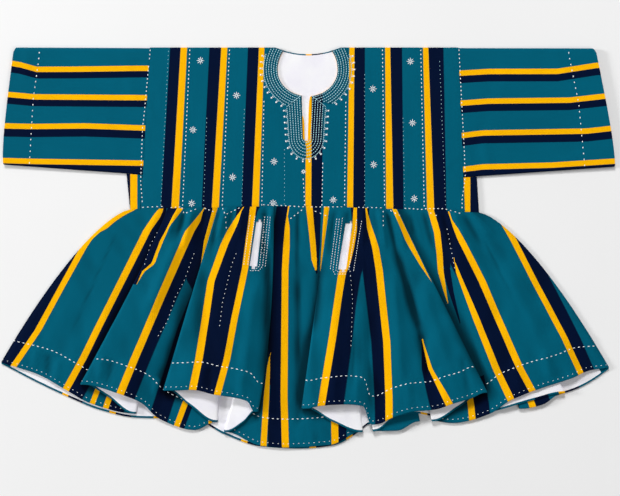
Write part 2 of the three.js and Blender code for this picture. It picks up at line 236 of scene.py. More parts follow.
def newMaterial(name, settings):
    material = bpy.data.materials.new(name)
    material.use_nodes = True
    tree = material.node_tree
    shader = tree.nodes["Principled BSDF"]
    for key, value in settings.items():
        shader.inputs[key].default_value = value
    return material, Socket(tree, None), shader


def joinTo(start, shader, colour, roughness, height, bump):
    strength, distance = bump
    bump = start.make("ShaderNodeBump", values={"Height": height, "Strength": strength, "Distance": distance})
    for name, socket in (("Base Color", colour), ("Roughness", roughness), ("Normal", bump)):
        start.tree.links.new(socket.link, shader.inputs[name])


cloth = {
    "teal": linear(0, 92, 116),
    "navy": linear(2, 16, 46),
    "yellow": linear(255, 186, 0),
    "threadPitch": 1.1 * mm,    # between one weft thread and the next
    # how closely thick threads, streaks and paler patches follow each other, across and along
    "slub": (160, 900), "streak": (700, 14), "patch": (9, 7),
    "brightness": 0.77, "slubShade": 0.16, "streakShade": 0.14, "patchShade": 0.21,
    "foldShade": 0.78,          # painted shade: how much darker the cloth is painted in its deepest hollows
    "yellowSpared": 0.6,        # the share of that painted shade which yellow thread doesn't get
    "edge": 9.0,                # how crisp a stripe's edge is, over its half width
    "edgeUneven": 0.10, "rough": 0.82, "roughUneven": 0.15,
    "ribHeight": 0.5, "slubHeight": 0.8, "bump": (0.35, 0.0004),
}


def stripedMaterial(name, looks):
    material, start, shader = newMaterial(name, {"Specular IOR Level": 0.04})
    stripes = start.make("ShaderNodeUVMap", {"uv_map": "stripes"})
    weave = start.make("ShaderNodeUVMap", {"uv_map": "weave"})
    paintedShade = start.make("ShaderNodeUVMap", {"uv_map": "paintedShade"})
    slub = weave.stretched(*looks["slub"]).noise(detail=3)
    streak = weave.stretched(*looks["streak"]).noise(detail=2)
    patch = weave.stretched(*looks["patch"]).noise(detail=3)
    uneven = (slub - 0.5) * looks["edgeUneven"]
    yellow = ((1 - abs(stripes.part(0) + uneven)) * looks["edge"] + 0.5).clamped()
    navy = ((1 - abs(stripes.part(1) + uneven)) * looks["edge"] + 0.5).clamped()
    ground = navy.between(looks["teal"], looks["navy"])
    dyed = yellow.between(ground, looks["yellow"])
    lit = looks["brightness"] + slub * looks["slubShade"] + streak * looks["streakShade"] \
        + patch * looks["patchShade"]
    # painted shade: the cloth is painted darker where it lies low among the cloth around it
    shade = paintedShade.part(0) * looks["foldShade"] * (1 - yellow * looks["yellowSpared"])
    colour = start.tinted(dyed, lit * (1 - shade))
    turn = 2 * math.pi / looks["threadPitch"]
    ribs = (weave.part(0) * turn).sine() * (weave.part(1) * turn).sine()
    height = ribs * looks["ribHeight"] + slub * looks["slubHeight"]
    roughness = (looks["rough"] + (slub - 0.5) * looks["roughUneven"]).clamped()
    joinTo(start, shader, colour, roughness, height, looks["bump"])
    return material


lining = {
    "white": linear(252, 252, 254),
    "shade": linear(238, 235, 248),
    "threadPitch": 0.6 * mm,
    "patch": 18, "slub": (500, 1400),    # how closely patches and thick threads follow each other
    "bump": (0.25, 0.0003),
}


def liningMaterial(name, looks):
    material, start, shader = newMaterial(name, {"Sheen Weight": 0.05, "Specular IOR Level": 0.2})
    place = start.make("ShaderNodeTexCoord", out=3)
    patch = place.noise(scale=looks["patch"], detail=3)
    slub = place.stretched(*looks["slub"]).noise(detail=2)
    colour = (patch * 1.6 - 0.5).clamped().between(looks["white"], looks["shade"])
    turn = 2 * math.pi / looks["threadPitch"]
    ribs = (place.part(0) * turn).sine() * (place.part(1) * turn).sine()
    tinted = start.tinted(colour, 0.95 + slub * 0.1)
    joinTo(start, shader, tinted, 0.86 + slub * 0.08, ribs * 0.5 + slub, looks["bump"])
    return material


thread = {
    "white": linear(252, 254, 255),
    "blue": linear(176, 226, 236),
    "twist": 0.5 * mm,    # between one strand and the next
    "patch": 260, "bump": (0.3, 0.0002),
}


def threadMaterial(name, looks, colourName):
    material, start, shader = newMaterial(name, {"Sheen Weight": 0.15, "Specular IOR Level": 0.35})
    place = start.make("ShaderNodeTexCoord", out=3)
    turn = 2 * math.pi / looks["twist"]
    strands = ((place.part(0) + place.part(1)) * turn).sine()
    patch = place.noise(scale=looks["patch"])
    # the colour also goes lighter and darker along the twist: painted shade of the strands
    colour = start.tinted(looks[colourName][:3], 0.92 + patch * 0.16 + strands * 0.03)
    joinTo(start, shader, colour, 0.7 + patch * 0.15, strands, looks["bump"])
    return material


stripedCloth = stripedMaterial("stripedCloth", cloth)
whiteCotton = liningMaterial("whiteCotton", lining)
whiteThread = threadMaterial("whiteThread", thread, "white")
blueThread = threadMaterial("blueThread", thread, "blue")
print("materials made")


def dress(piece, material, slot, *replaced):
    piece.data.materials.clear()
    piece.data.materials.append(material)
    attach(piece, "root")
    if replaced:
        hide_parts(*replaced)
    return piece


# Skirt: lines from the waist seam down to the hem, and folds where a line turns.

skirt = {
    "waistTop": 95, "waistFallLeft": 0.02, "waistFallRight": 0.04, "waistMiddle": -6, "waistGap": 0.15,
    "frontBase": 4.0, "backBase": 0.8, "layerStep": 2.4, "liningRoom": 1.3, "liningStart": 0.69,
    "thickness": 1.4, "middle": 0.1, "turnRadius": 0.72, "turnFrom": 0.992, "foldSteps": 8, "turnSteps": 4,
    "liningTo": 0.994, "liningOverlap": 0.03, "liningMiddle": -1.45, "liningThickness": 0.9, "liningInset": 3,
    "hemRow": 7.5, "upperHemRow": 64, "weaveStep": 7,
    "columnWidth": 7, "fewestColumns": 3, "mostColumns": 14, "creaseDepth": 2.3,
    # creases shrink where the cloth lies this close to what is under it, up and down
    "creaseFloor": 3.2, "upRoom": 5, "downRoom": 14, "leastUp": 0.3, "leastDown": 0.08, "deepest": -6,
    "edgeWidth": 9, "edgeHeight": {"front": 3.1, "back": 1.6},    # the side edges, where front meets back
}
skirtRows = np.concatenate([np.linspace(0, 0.24, 19)[:-1], np.linspace(0.24, 1, 52)[:-1], [0.993, 1]])
gores = {"front": 9, "back": 8}
# Each line of the skirt: its x at the waist, its x and y at the hem, how early it spreads (1 is straight),
# how many layers lie under it and how high it billows. Where it turns over, 1 is to the right and -1 to the
# left, with the layers and the billow on the way out.
skirtColumns = [
    "line", "waistX", "hemX", "hemY", "spread", "layers", "billow", "turn", "layersOut", "billowOut",
]
notTurned = [0, 0, 0]
frontLines = [
    ["side_left", -407, -704, -264, 0.69, 0, 0],
    ["a_flare", -385, -616, -292, 0.85, 0, 3],
    ["a_seam", -356, -547, -331, 1, 0, 3],
    ["a_low", -338, -500, -357, 1, 0, 0.4],
    ["a_edge", -312, -396, -381, 1, 0, 0, 1, 1, 1],
    ["a_under", -317, -460, -340, 1, 1, 2],
    ["b_edge", -323, -520, -313, 1.13, 1, 2, -1, 2, 12],
    ["b_seam", -272, -428, -334, 1, 2, 14],
    ["b_slope", -248, -380, -356, 1, 1.2, 8],
    ["b_low", -231, -342, -392, 1, 0, 0.5],
    ["b_floor", -214, -260, -419, 1, 0, 0],
    ["b_fold", -196, -209, -400, 1, 0, 0, 1, 1, 1],
    ["b_under", -200, -270, -362, 1, 1, 2.5],
    ["c_edge", -206, -330, -326, 1, 1, 2.5, -1, 2, 15],
    ["c_seam", -164, -262, -324, 1, 2, 19],
    ["c_top", -134, -215, -334, 1, 2, 20],
    ["pocket_left", -109, -172, -341, 1, 2, 18],
    ["c_slope", -95, -138, -350, 1, 2, 16],
    ["c_fold", -79, -114, -375, 2.6, 2, 12, 1, 1, 3],
    ["c_under", -84, -150, -402, 1.5, 1, 2],
    ["d_fold", -90, -191, -423, 1.5, 1, 1.6, -1, 0, 0],
    ["d_left", -66, -108, -455, 1, 0, 0],
    ["d_seam", -50, -53, -459, 1, 0, 0.6],
    ["d_right", 5, 51, -453, 1, 0, 0],
    ["d_edge", 60, 124, -423, 1, 0, 0, 1, 1, 1],
    ["d_under", 55, 55, -398, 1, 1, 2.5],
    ["e_edge", 50, -14, -367, 1, 1, 2.5, -1, 2, 14],
    ["pocket_right", 102, 24, -361, 1, 2, 18],
    ["e_top", 114, 82, -357, 1, 2, 18],
    ["e_side", 124, 126, -362, 1, 2.2, 13],
    ["valley_left", 131, 147, -405, 1, 2.2, 6],
    ["valley_right", 138, 163, -403, 1, 2.2, 6],
    ["f_seam", 146, 190, -389, 1, 2.2, 12],
    ["f_left", 164, 245, -373, 1, 2.2, 16],
    ["f_crease", 178, 288, -370, 1, 2.2, 11],
    ["f_right", 187, 329, -356, 1, 2.2, 17],
    ["f_low", 194, 373, -343, 1, 2.2, 15],
    ["f_fold", 204, 409, -331, 1, 2.2, 13, 1, 1, 3],
    ["f_under", 199, 345, -366, 1, 1, 2.2],
    ["g_fold", 194, 285, -398, 1, 1, 1.6, -1, 0, 0],
    ["g_floor", 239, 330, -403, 1, 0, 0],
    ["g_low", 282, 420, -380, 1, 0.2, 1],
    ["g_rise", 308, 458, -352, 1, 2.5, 5],
    ["g_seam", 334, 506, -331, 1, 2.5, 6],
    ["g_flare", 362, 600, -300, 0.9, 2.5, 4],
    ["g_edge", 379, 649, -281, 0.8, 0.8, 1.5],
    ["side_right", 393, 691, -276, 0.69, 0, 0],
]
backLines = [
    ["side_left", -407, -704, -267, 0.69, 0, 0],
    ["left_flare", -385, -616, -313, 0.85, 0, 0],
    ["left_seam", -356, -547, -345, 1, 0, 0],
    ["left_low", -336, -478, -373, 1, 0, 0],
    ["left_inner", -300, -393, -391, 1, 0, 0],
    ["under_b", -206, -265, -394, 1, 0, 0],
    ["under_c", -120, -190, -430, 1, 0, 0],
    ["centre_left", -66, -108, -457, 1, 0, 0],
    ["centre_seam", -20, -20, -462, 1, 0, 0],
    ["centre_right", 20, 60, -454, 1, 0, 0],
    ["under_e", 80, 116, -424, 1, 0, 0],
    ["under_valley", 120, 143, -405, 1, 0, 0],
    ["j_floor", 150, 210, -402, 1, 0, 0],
    ["j_edge", 170, 256, -399, 1, 0, 0, 1, 1.6, 3],
    ["j_middle", 156, 205, -420, 1, 1.6, 3],
    ["j_fold", 136, 150, -421, 1, 1.6, 3, -1, 2.6, 3],
    ["over_j", 156, 205, -386, 1, 2.6, 3],
    ["over_j_edge", 168, 250, -380, 1, 2.6, 3],
    ["down_from_j", 184, 274, -385, 1, 0, 0],
    ["right_floor", 239, 330, -392, 1, 0, 0],
    ["up_to_h", 282, 420, -378, 1, 0, 0],
    ["over_h", 308, 458, -366, 1, 2.6, 3],
    ["over_h_seam", 330, 520, -348, 1, 2.6, 3],
    ["h_edge", 352, 587, -333, 1, 2.6, 3, 1, 1.6, 3],
    ["h_middle", 340, 536, -361, 1, 1.6, 3],
    ["h_fold", 328, 485, -370, 1, 1.6, 3, -1, 0, 0],
    ["right_low", 350, 560, -344, 1, 0, 0],
    ["right_flare", 371, 619, -324, 0.85, 0, 0],
    ["right_edge", 383, 653, -306, 0.76, 0, 0],
    ["side_right", 393, 691, -279, 0.69, 0, 0],
]

# Stripes of the skirt, each between the two lines that its fold runs between.
folds = {
    "a": ("side_left", "a_edge"), "b": ("b_edge", "b_fold"), "c": ("c_edge", "c_fold"),
    "d": ("d_fold", "d_edge"), "e": ("e_edge", "f_fold"), "g": ("g_fold", "side_right"),
    "backLeft": ("side_left", "under_b"), "backB": ("under_b", "centre_seam"),
    "backCentre": ("centre_seam", "under_valley"), "backValley": ("under_valley", "right_floor"),
    "backH": ("right_floor", "over_h_seam"), "backRight": ("over_h_seam", "side_right"),
}


def stripe(fold, path, yellow, left=(0, 0), right=(0, 0)):
    # path is the left edge of a yellow stripe on its way down, and yellow is its width at each point, or at
    # the top and the foot; left and right are how far navy reaches on each side, at the top and the foot
    return {"fold": fold, "path": path, "yellow": yellow, "left": left, "right": right}


frontStripes = [
    stripe("a", [(-405, 96), (-444, 74), (-485, 44), (-499, 36), (-524, -2), (-627, -191), (-678, -266)],
           (13, 13), left=(70, 70)),
    stripe("a", [(-338, 92), (-346, 84), (-358, 68), (-378, 39), (-524, -255), (-562, -324)],
           (4, 10, 15, 15, 15, 15), right=(36, 36)),
    stripe("b", [(-298, 92), (-321, 47), (-339, 14), (-358, -37), (-380, -56), (-390, -80)],
           (13, 4, 7, 6, 5, 1), left=(20, 17)),
    stripe("a", [(-338, 21), (-351, 5), (-361, -40), (-378, -52), (-389, -72), (-398, -95)], (12, 12)),
    stripe("a", [(-452, -322), (-462, -343), (-472, -372)], (13, 13), right=(36, 36)),
    stripe("b", [(-243, 84), (-262, 60), (-281, 36), (-405, -255), (-436, -332)],
           (2, 12, 16, 17, 17), right=(26, 26)),
    stripe("b", [(-219, 92), (-219, 86), (-228, 53), (-239, 13),
                 (-246, -40), (-252, -70), (-262, -130), (-264, -150)],
           (15, 15, 14, 13, 12, 10, 10, 1)),
    stripe("b", [(-283, -345), (-290, -361), (-309, -413)], (13, 13), right=(12, 12)),
    stripe("b", [(-249, 28), (-282, -70), (-265, -100), (-299, -184), (-322, -258), (-352, -350)],
           (0, 0), right=(40, 44)),
    stripe("b", [(-226, -345), (-229, -372), (-228, -412)], (8, 8)),
    stripe("c", [(-154, 84), (-172, 58), (-186, 36), (-201, 4),
                 (-230, -78), (-242, -158), (-257, -255), (-271, -324)],
           (2, 11, 15, 16, 16, 17, 17, 17), right=(30, 48)),
    stripe("c", [(-135, 74), (-150, -41), (-152, -53), (-175, -163), (-192, -255), (-214, -336)],
           (14, 15), left=(30, 30)),
    stripe("d", [(-49, 72), (-53, 46), (-57, 0), (-60, -53), (-63, -347), (-60, -455)],
           (3, 11, 15, 15, 16, 16), left=(26, 32)),
    stripe("d", [(-88, -250), (-94, -275), (-102, -347), (-109, -453)], (1, 7, 13, 14)),
    stripe("d", [(36, 76), (28, -49), (30, -80), (30, -150)], (13, 13, 12, 1)),
    stripe("d", [(-5, 94), (5, 5), (8, -30), (18, -60)], (15, 13, 12, 1), right=(20, 2)),
    stripe("d", [(52, -360), (53, -386), (54, -451)], (16, 16), right=(19, 19)),
    stripe("e", [(104, 84), (101, 40), (92, -2), (81, -36), (69, -61), (48, -203), (24, -347)],
           (8, 11, 13, 15, 16, 16.5, 16.5), right=(28, 42)),
    stripe("e", [(132, 80), (135, 44), (147, -2), (155, -53), (172, -217), (177, -347), (177, -395)],
           (4, 12, 15, 16, 16, 16, 16), left=(33, 24)),
    stripe("e", [(194, 84), (206, 56), (222, 16), (255, -40), (286, -85), (315, -124), (348, -170)],
           (9, 16, 17, 17, 17, 17, 17)),
    stripe("e", [(262, -218), (275, -278), (315, -363)], (3, 17), left=(2, 34)),
    stripe("g", [(274, 92), (275, 83), (289, 34), (295, -15), (298, -56), (310, -98), (320, -128)],
           (14, 14, 14.4, 14, 13, 7, 1)),
    stripe("g", [(316, 20), (316, -20), (320, -60), (330, -105), (350, -175)],
           (0, 0), left=(14, 2), right=(13, 0)),
    stripe("g", [(335, -30), (340, -60), (376, -160), (422, -278), (453, -345)],
           (1, 8, 14, 15, 16), right=(30, 30)),
    stripe("g", [(326, 64), (333, 42), (343, 16), (390, -78), (476, -278), (504, -329)],
           (3, 10, 14, 15, 15, 15), left=(42, 34)),
    stripe("g", [(444, 51), (464, 16), (514, -83), (580, -209), (614, -283)], (13.5, 13.5), right=(30, 26)),
    stripe("g", [(355, -300), (366, -360), (370, -400)], (15, 15), right=(34, 34)),
]
backStripes = [
    stripe(fold, [(waistX, 92), (hemX, -400)], (13, 15), right=(28, 36))
    for fold, waistX, hemX in [
        ("backLeft", -392, -590), ("backLeft", -330, -462), ("backLeft", -268, -356), ("backB", -196, -262),
        ("backB", -108, -150), ("backCentre", -10, 2), ("backCentre", 62, 86), ("backValley", 168, 262),
        ("backH", 262, 380), ("backRight", 338, 520), ("backRight", 372, 606),
    ]
]


def waistY(x):
    out = x - skirt["waistMiddle"]
    return skirt["waistTop"] - np.where(out < 0, -out * skirt["waistFallLeft"], out * skirt["waistFallRight"])


def lineHeight(side, layers, billow, down):
    base = skirt["frontBase"] if side == "front" else skirt["backBase"]
    room = skirt["liningRoom"] * ease(down, 0.4, skirt["liningStart"]) if side == "front" else 0 * down
    return base + layers * skirt["layerStep"] + billow * down ** 1.2 + room


def skirtControls(side, lines, down):
    # the points of every row that the lines give, with a half circle at each fold
    controls, starts, isArc = [], {}, []
    for row in lines:
        line = dict(zip(skirtColumns, row + notTurned))
        starts[line["line"]] = len(controls)
        x = mix(line["waistX"], line["hemX"], down ** line["spread"])
        y = mix(waistY(line["waistX"]) - skirt["waistGap"], line["hemY"], down)
        z = lineHeight(side, line["layers"], line["billow"], down)
        if not line["turn"]:
            controls.append(np.stack([x, y, z], axis=1))
            isArc.append(False)
            continue
        zOut = lineHeight(side, line["layersOut"], line["billowOut"], down)
        radius = np.abs(zOut - z) / 2
        for step in range(skirt["foldSteps"] + 1):
            turn = step / skirt["foldSteps"] * math.pi
            back = radius * (1 - math.sin(turn))
            spot = [x - line["turn"] * back, y, mix(z, zOut, (1 - math.cos(turn)) / 2)]
            controls.append(np.stack(spot, axis=1))
            isArc.append(step < skirt["foldSteps"])
    return np.stack(controls, axis=1), starts, isArc


def smoothRows(controls, isArc):
    # a smooth line through each row's points that never swings past them
    steps = np.diff(controls, axis=1)
    length = np.maximum(np.linalg.norm(steps, axis=2, keepdims=True), 1e-6)
    secant = steps / length
    before, after = secant[:, :-1], secant[:, 1:]
    weightA = 2 * length[:, 1:] + length[:, :-1]
    weightB = length[:, 1:] + 2 * length[:, :-1]
    same = before * after > 1e-12
    safeBefore, safeAfter = np.where(same, before, 1), np.where(same, after, 1)
    slope = np.where(same, (weightA + weightB) / (weightA / safeBefore + weightB / safeAfter), 0)
    slopes = np.concatenate([secant[:, :1], slope, secant[:, -1:]], axis=1)
    columns, spans = [], []
    for k in range(controls.shape[1] - 1):
        wanted = round(length[-1, k, 0] / skirt["columnWidth"])
        count = 1 if isArc[k] else int(np.clip(wanted, skirt["fewestColumns"], skirt["mostColumns"]))
        for i in range(count):
            s = i / count
            reach = length[:, k]
            fromHere = (1 + 2 * s) * controls[:, k] + s * reach * slopes[:, k]
            toNext = (3 - 2 * s) * controls[:, k + 1] + (s - 1) * reach * slopes[:, k + 1]
            columns.append((1 - s) ** 2 * fromHere + s * s * toNext)
            spans.append(k)
    columns.append(controls[:, -1])
    spans.append(controls.shape[1] - 1)
    return np.stack(columns, axis=1), np.array(spans)


# Creases pressed or gathered into the cloth: where each one starts and ends, its half width and its height.
creaseStart, creaseEnd = (-0.12, 0.15), (0.7, 1.15)    # the shares of its length where a crease fades
creases = [
    (-340, 90, -372, 20, 7, 2.6), (-322, 88, -345, 40, 5, -1.8), (-300, 92, -318, 30, 8, 2.8),
    (-282, 90, -300, 25, 6, -2.6), (-262, 92, -286, 0, 9, 3.0), (-240, 90, -262, 10, 5, -1.6),
    (-222, 92, -238, 30, 7, 2.4), (-204, 92, -222, -10, 6, -2.8), (-188, 92, -205, 20, 7, 2.6),
    (-172, 92, -186, 40, 5, -2.0), (-150, 90, -160, 20, 7, 2.2), (-128, 90, -138, 20, 6, -1.2),
    (-98, 90, -104, -30, 7, -2.8), (-84, 92, -88, 0, 6, 2.4), (-70, 90, -76, -10, 6, -2.4),
    (-40, 90, -42, 20, 8, 2.6), (-24, 92, -26, -60, 5, -2.6), (-8, 90, -6, 10, 7, 2.2),
    (14, 92, 14, -20, 5, -2.2), (40, 90, 34, 10, 7, 2.4), (62, 90, 50, -20, 6, -2.8),
    (76, 92, 68, 30, 6, 2.2), (92, 90, 84, 10, 5, -1.6), (124, 90, 126, 10, 6, 2.2),
    (146, 90, 158, -20, 6, 0.4), (162, 90, 178, 0, 7, 2.6), (178, 90, 206, -30, 6, -3.0),
    (196, 90, 222, 0, 6, 2.4), (222, 90, 246, 20, 6, -2.2), (240, 88, 262, 10, 7, 2.4),
    (262, 88, 286, 0, 6, -2.4), (284, 86, 300, 20, 7, 2.2), (306, 84, 330, -10, 6, -2.4),
    (330, 84, 360, 20, 8, 2.6), (352, 82, 400, 0, 7, -1.8), (372, 80, 420, 20, 7, 2.0),
    # long soft folds down the skirt
    (-445, 21, -540, -190, 3, -1.2), (-430, -60, -500, -230, 22, 2.2), (-300, 10, -365, -150, 16, 3.0),
    (-240, -60, -250, -240, 14, -2.0), (-162, 5, -201, -175, 2.6, -1.4), (-120, -90, -150, -300, 14, 2.4),
    (-90, -20, -96, -330, 10, -4.0), (-24, -60, -22, -430, 9, -3.2), (0, -80, 8, -400, 14, 2.6),
    (26, -40, 14, -200, 9, -3.4), (60, -140, 52, -330, 20, 2.6), (104, -60, 100, -330, 3, -1.2),
    (205, -20, 258, -200, 10, -5.0), (258, -200, 272, -300, 8, -3.0), (196, -80, 214, -330, 12, 2.8),
    (262, -90, 330, -300, 14, 2.4), (318, -120, 400, -310, 12, -2.5), (406, 11, 521, -219, 3, -1.2),
    (450, -60, 560, -260, 20, 2.4), (352, 40, 420, -100, 12, 2.2),
    # puckers along the hem
    (-622, -232, -630, -282, 7, 1.6), (-596, -246, -600, -300, 6, -1.4), (-572, -262, -580, -316, 8, 1.6),
    (-470, -250, -476, -300, 7, 1.5), (-448, -262, -458, -318, 6, -1.4), (-344, -300, -352, -340, 7, 1.6),
    (-240, -270, -246, -322, 6, 1.8), (-222, -272, -226, -330, 5, -1.4), (-150, -290, -152, -346, 7, 1.8),
    (-20, -400, -18, -450, 6, 1.4), (14, -400, 18, -450, 6, -1.2), (60, -300, 58, -352, 7, 1.6),
    (112, -300, 112, -356, 7, 1.8), (226, -310, 232, -370, 7, 1.6), (300, -280, 312, -352, 7, 1.8),
    (350, -250, 366, -330, 7, -1.4), (470, -260, 486, -332, 7, 1.6), (540, -240, 556, -306, 7, 1.8),
    (600, -220, 622, -282, 7, -1.2), (640, -200, 660, -262, 6, 1.4),
]
bodiceCreases = [
    (-345, 380, -330, 300, 9, 0.8), (-372, 330, -352, 290, 6, 0.8), (-372, 150, -340, 120, 7, 0.8),
    (-300, 440, -296, 330, 12, 0.65), (-236, 320, -240, 200, 14, 0.8), (-150, 400, -158, 250, 12, 0.65),
    (-60, 250, -64, 130, 12, 0.8), (40, 260, 44, 130, 14, 0.8), (132, 420, 130, 240, 12, 0.65),
    (216, 330, 222, 160, 12, 0.8), (300, 400, 306, 330, 8, 0.8), (326, 170, 352, 128, 8, 0.9),
    (296, 150, 338, 210, 7, 0.8), (-300, 170, -310, 110, 9, 0.8),
]


def creaseLift(x, y, table):
    lift = np.zeros_like(x)
    for x0, y0, x1, y1, halfWidth, height in table:
        dx, dy = x1 - x0, y1 - y0
        length = math.hypot(dx, dy)
        along = ((x - x0) * dx + (y - y0) * dy) / length
        away = ((x - x0) * dy - (y - y0) * dx) / length
        share = along / length
        fade = ease(share, *creaseStart) * ease(-share, -creaseEnd[1], -creaseEnd[0])
        lift += height * np.exp(-(away / halfWidth) ** 2) * fade
    return lift


def ripples(x, y):
    # the slight unevenness of soft cotton
    fine = np.sin(x / 9 + y / 37 + 2 * np.sin(y / 61)) * np.sin(y / 23 + x / 53)
    return fine + 1.2 * np.sin(x / 21 - y / 47) * np.sin(y / 39 + np.sin(x / 80))


def unit(vectors):
    return vectors / np.maximum(np.linalg.norm(vectors, axis=2, keepdims=True), 1e-9)


def skirtSurface(side, lines):
    # the skirt's cloth as rows of points from the waist to the hem, with its folds and creases, and the
    # painted shade of its deep creases
    controls, lineStarts, isArc = skirtControls(side, lines, skirtRows)
    spots, spans = smoothRows(controls, isArc)
    troughShade = np.zeros(spots.shape[:2])
    if side == "front":
        x, y = spots[..., 0], spots[..., 1]
        lift = creaseLift(x, y, creases) * skirt["creaseDepth"] + ripples(x, y)
        lift *= ease(skirtRows, -0.01, 0.05)[:, None]
        room = spots[..., 2] - skirt["creaseFloor"]
        up = np.clip(room / skirt["upRoom"], skirt["leastUp"], 1)
        down = np.clip(room / skirt["downRoom"], skirt["leastDown"], 1)
        spots[..., 2] += np.where(lift > 0, lift * up, np.maximum(lift, skirt["deepest"]) * down)
        # painted shade in the deepest creases, darker the deeper they are
        troughShade = np.clip(-lift / 8, 0, 1)
    edge = np.minimum(np.abs(spots[..., 0] - spots[:, :1, 0]), np.abs(spots[..., 0] - spots[:, -1:, 0]))
    close = (1 - ease(edge, 0, skirt["edgeWidth"])) * ease(skirtRows, 0, 0.1)[:, None]
    spots[..., 2] += close * (skirt["edgeHeight"][side] - spots[..., 2])
    across, along = np.gradient(spots, axis=1), -np.gradient(spots, axis=0)
    normals = unit(np.cross(across, along)) * (1 if side == "front" else -1)
    starts = {name: int(np.argmax(spans >= k)) for name, k in lineStarts.items()}
    return {"spots": spots, "normals": normals, "down": unit(-along), "starts": starts, "troughShade": troughShade}


thinnest, tapered, belowWaist = 0.05, 3, 50


def stripeFields(spots, stripes, starts, columnOfFace, corners):
    # how far each point lies across each yellow and each navy stripe, and which faces a stripe may reach
    yellows, navies, allowed = [], [], []
    x, y = spots[:, 0], spots[:, 1]
    faceY = y[corners].mean(axis=1)
    for row in stripes:
        yellow, (first, last) = row["yellow"], folds[row["fold"]]
        xs, ys = np.array(row["path"][::-1], float).T
        slopes = np.diff(xs) / np.diff(ys)
        pathX = np.interp(y, ys, xs)
        pathX = np.where(y < ys[0], xs[0] + (y - ys[0]) * slopes[0], pathX)
        pathX = np.where(y > ys[-1], xs[-1] + (y - ys[-1]) * slopes[-1], pathX)
        slope = np.interp(y, (ys[1:] + ys[:-1]) / 2, slopes)
        away = (x - pathX) / np.hypot(1, slope)
        share = np.clip((ys[-1] - y) / (ys[-1] - ys[0]), 0, 1)
        wide = np.interp(y, ys, yellow[::-1]) if len(yellow) == len(ys) else mix(yellow[0], yellow[1], share)
        left, right = mix(*row["left"], share), mix(*row["right"], share)
        half = np.maximum(wide / 2, thinnest)
        yellows.append((away - half) / half if max(yellow) else away * 0 + noStripe)
        middle, reach = (wide + right - left) / 2, np.maximum((wide + left + right) / 2, thinnest)
        navies.append((away - middle) / reach)
        # a stripe that only shows in one place ends there
        shown = (columnOfFace >= starts[first]) & (columnOfFace < starts[last])
        if ys[-1] < belowWaist:
            shown &= faceY < ys[-1] + 5
        if max(yellow[-1], row["right"][1]) <= tapered:
            shown &= faceY > ys[0] - 3
        allowed.append(shown)
    return yellows, navies, np.array(allowed)


def skirtSheet(name, surface, rowsFrom, rowsTo, offset, columns=None, hemTurn=False):
    # a sheet on the skirt's surface from one row to another, moved off it by a small distance
    spots, normals, down = (surface[key] for key in ("spots", "normals", "down"))
    first, last = columns or (0, spots.shape[1] - 1)
    cut, hem = slice(first, last + 1), len(skirtRows) - 1
    made = [spots[i, cut] + normals[i, cut] * offset
            for i in range(hem + 1) if rowsFrom <= skirtRows[i] <= rowsTo]
    if hemTurn:
        radius = skirt["turnRadius"]
        for step in range(1, skirt["turnSteps"] + 1):
            turn = step / skirt["turnSteps"] * math.pi
            made.append(spots[hem, cut] + down[hem, cut] * radius * math.sin(turn)
                        + normals[hem, cut] * (offset - radius * (1 - math.cos(turn))))
        made += [spots[i, cut] + normals[i, cut] * (offset - 2 * radius)
                 for i in range(hem, 0, -1) if skirtRows[i] >= skirt["turnFrom"]]
    made = np.stack(made)
    piece, column, row = gridSheet(name, made.shape[1] - 1, made.shape[0] - 1)
    placeSpots(piece, made[row, column])
    return piece, made[row, column], column, row


pocket = {
    "lines": {"left": "pocket_left", "right": "pocket_right"},
    "columns": (-1, 2), "endColumns": (0, 1),                  # how wide the slit is, and at its ends
    "top": 0.055, "foot": 0.325, "roundEnd": 0.014,            # shares of the way down the skirt
    "bagTop": 0.025, "bagFoot": 0.45, "bagColumns": 5, "bagMiddle": -1.5, "bagThickness": 0.8,
}


def cutPocketSlits(piece, surface, columnOfFace, rowOfFace):
    # the squares on each side of a pocket line are taken out
    pick(piece)
    middles = [surface["starts"][line] for line in pocket["lines"].values()]
    bpy.ops.object.mode_set(mode="EDIT")
    bpy.ops.mesh.select_mode(type="FACE")
    bpy.ops.mesh.select_all(action="DESELECT")
    bpy.ops.object.mode_set(mode="OBJECT")
    for face, column, row in zip(piece.data.polygons, columnOfFace, rowOfFace):
        down = skirtRows[min(row, len(skirtRows) - 1)]
        isOpen = pocket["top"] < down < pocket["foot"]
        isEnd = min(down - pocket["top"], pocket["foot"] - down) < pocket["roundEnd"]
        left, right = pocket["endColumns"] if isEnd else pocket["columns"]
        face.select = bool(isOpen and any(left <= column - middle <= right for middle in middles))
    bpy.ops.object.mode_set(mode="EDIT")
    bpy.ops.mesh.delete(type="FACE")
    bpy.ops.object.mode_set(mode="OBJECT")


# Painted shade: cloth that lies below the cloth around it is painted darker.
hollowShade = {
    "cell": 8.0, "passes": 7, "margin": 8,    # the plan squares that heights are averaged over
    "from": 0.5, "deepest": 6.5,              # how far below its surroundings a spot starts to be painted darker, and where that painted shade is full
}


def heightsAround(surface):
    # the average height of the top cloth round each small square of the plan
    spots = surface["spots"].reshape(-1, 3)
    corner = spots[:, :2].min(axis=0) - hollowShade["margin"] * hollowShade["cell"]
    place = ((spots[:, :2] - corner) / hollowShade["cell"]).astype(int)
    tops = np.zeros(place.max(axis=0) + hollowShade["margin"] + 1)
    np.maximum.at(tops, (place[:, 0], place[:, 1]), spots[:, 2])
    known = (tops > 0).astype(float)
    for _ in range(hollowShade["passes"]):
        for axis in (0, 1):
            tops = (tops + np.roll(tops, 1, axis) + np.roll(tops, -1, axis)) / 3
            known = (known + np.roll(known, 1, axis) + np.roll(known, -1, axis)) / 3
    return corner, tops / np.maximum(known, 0.3)


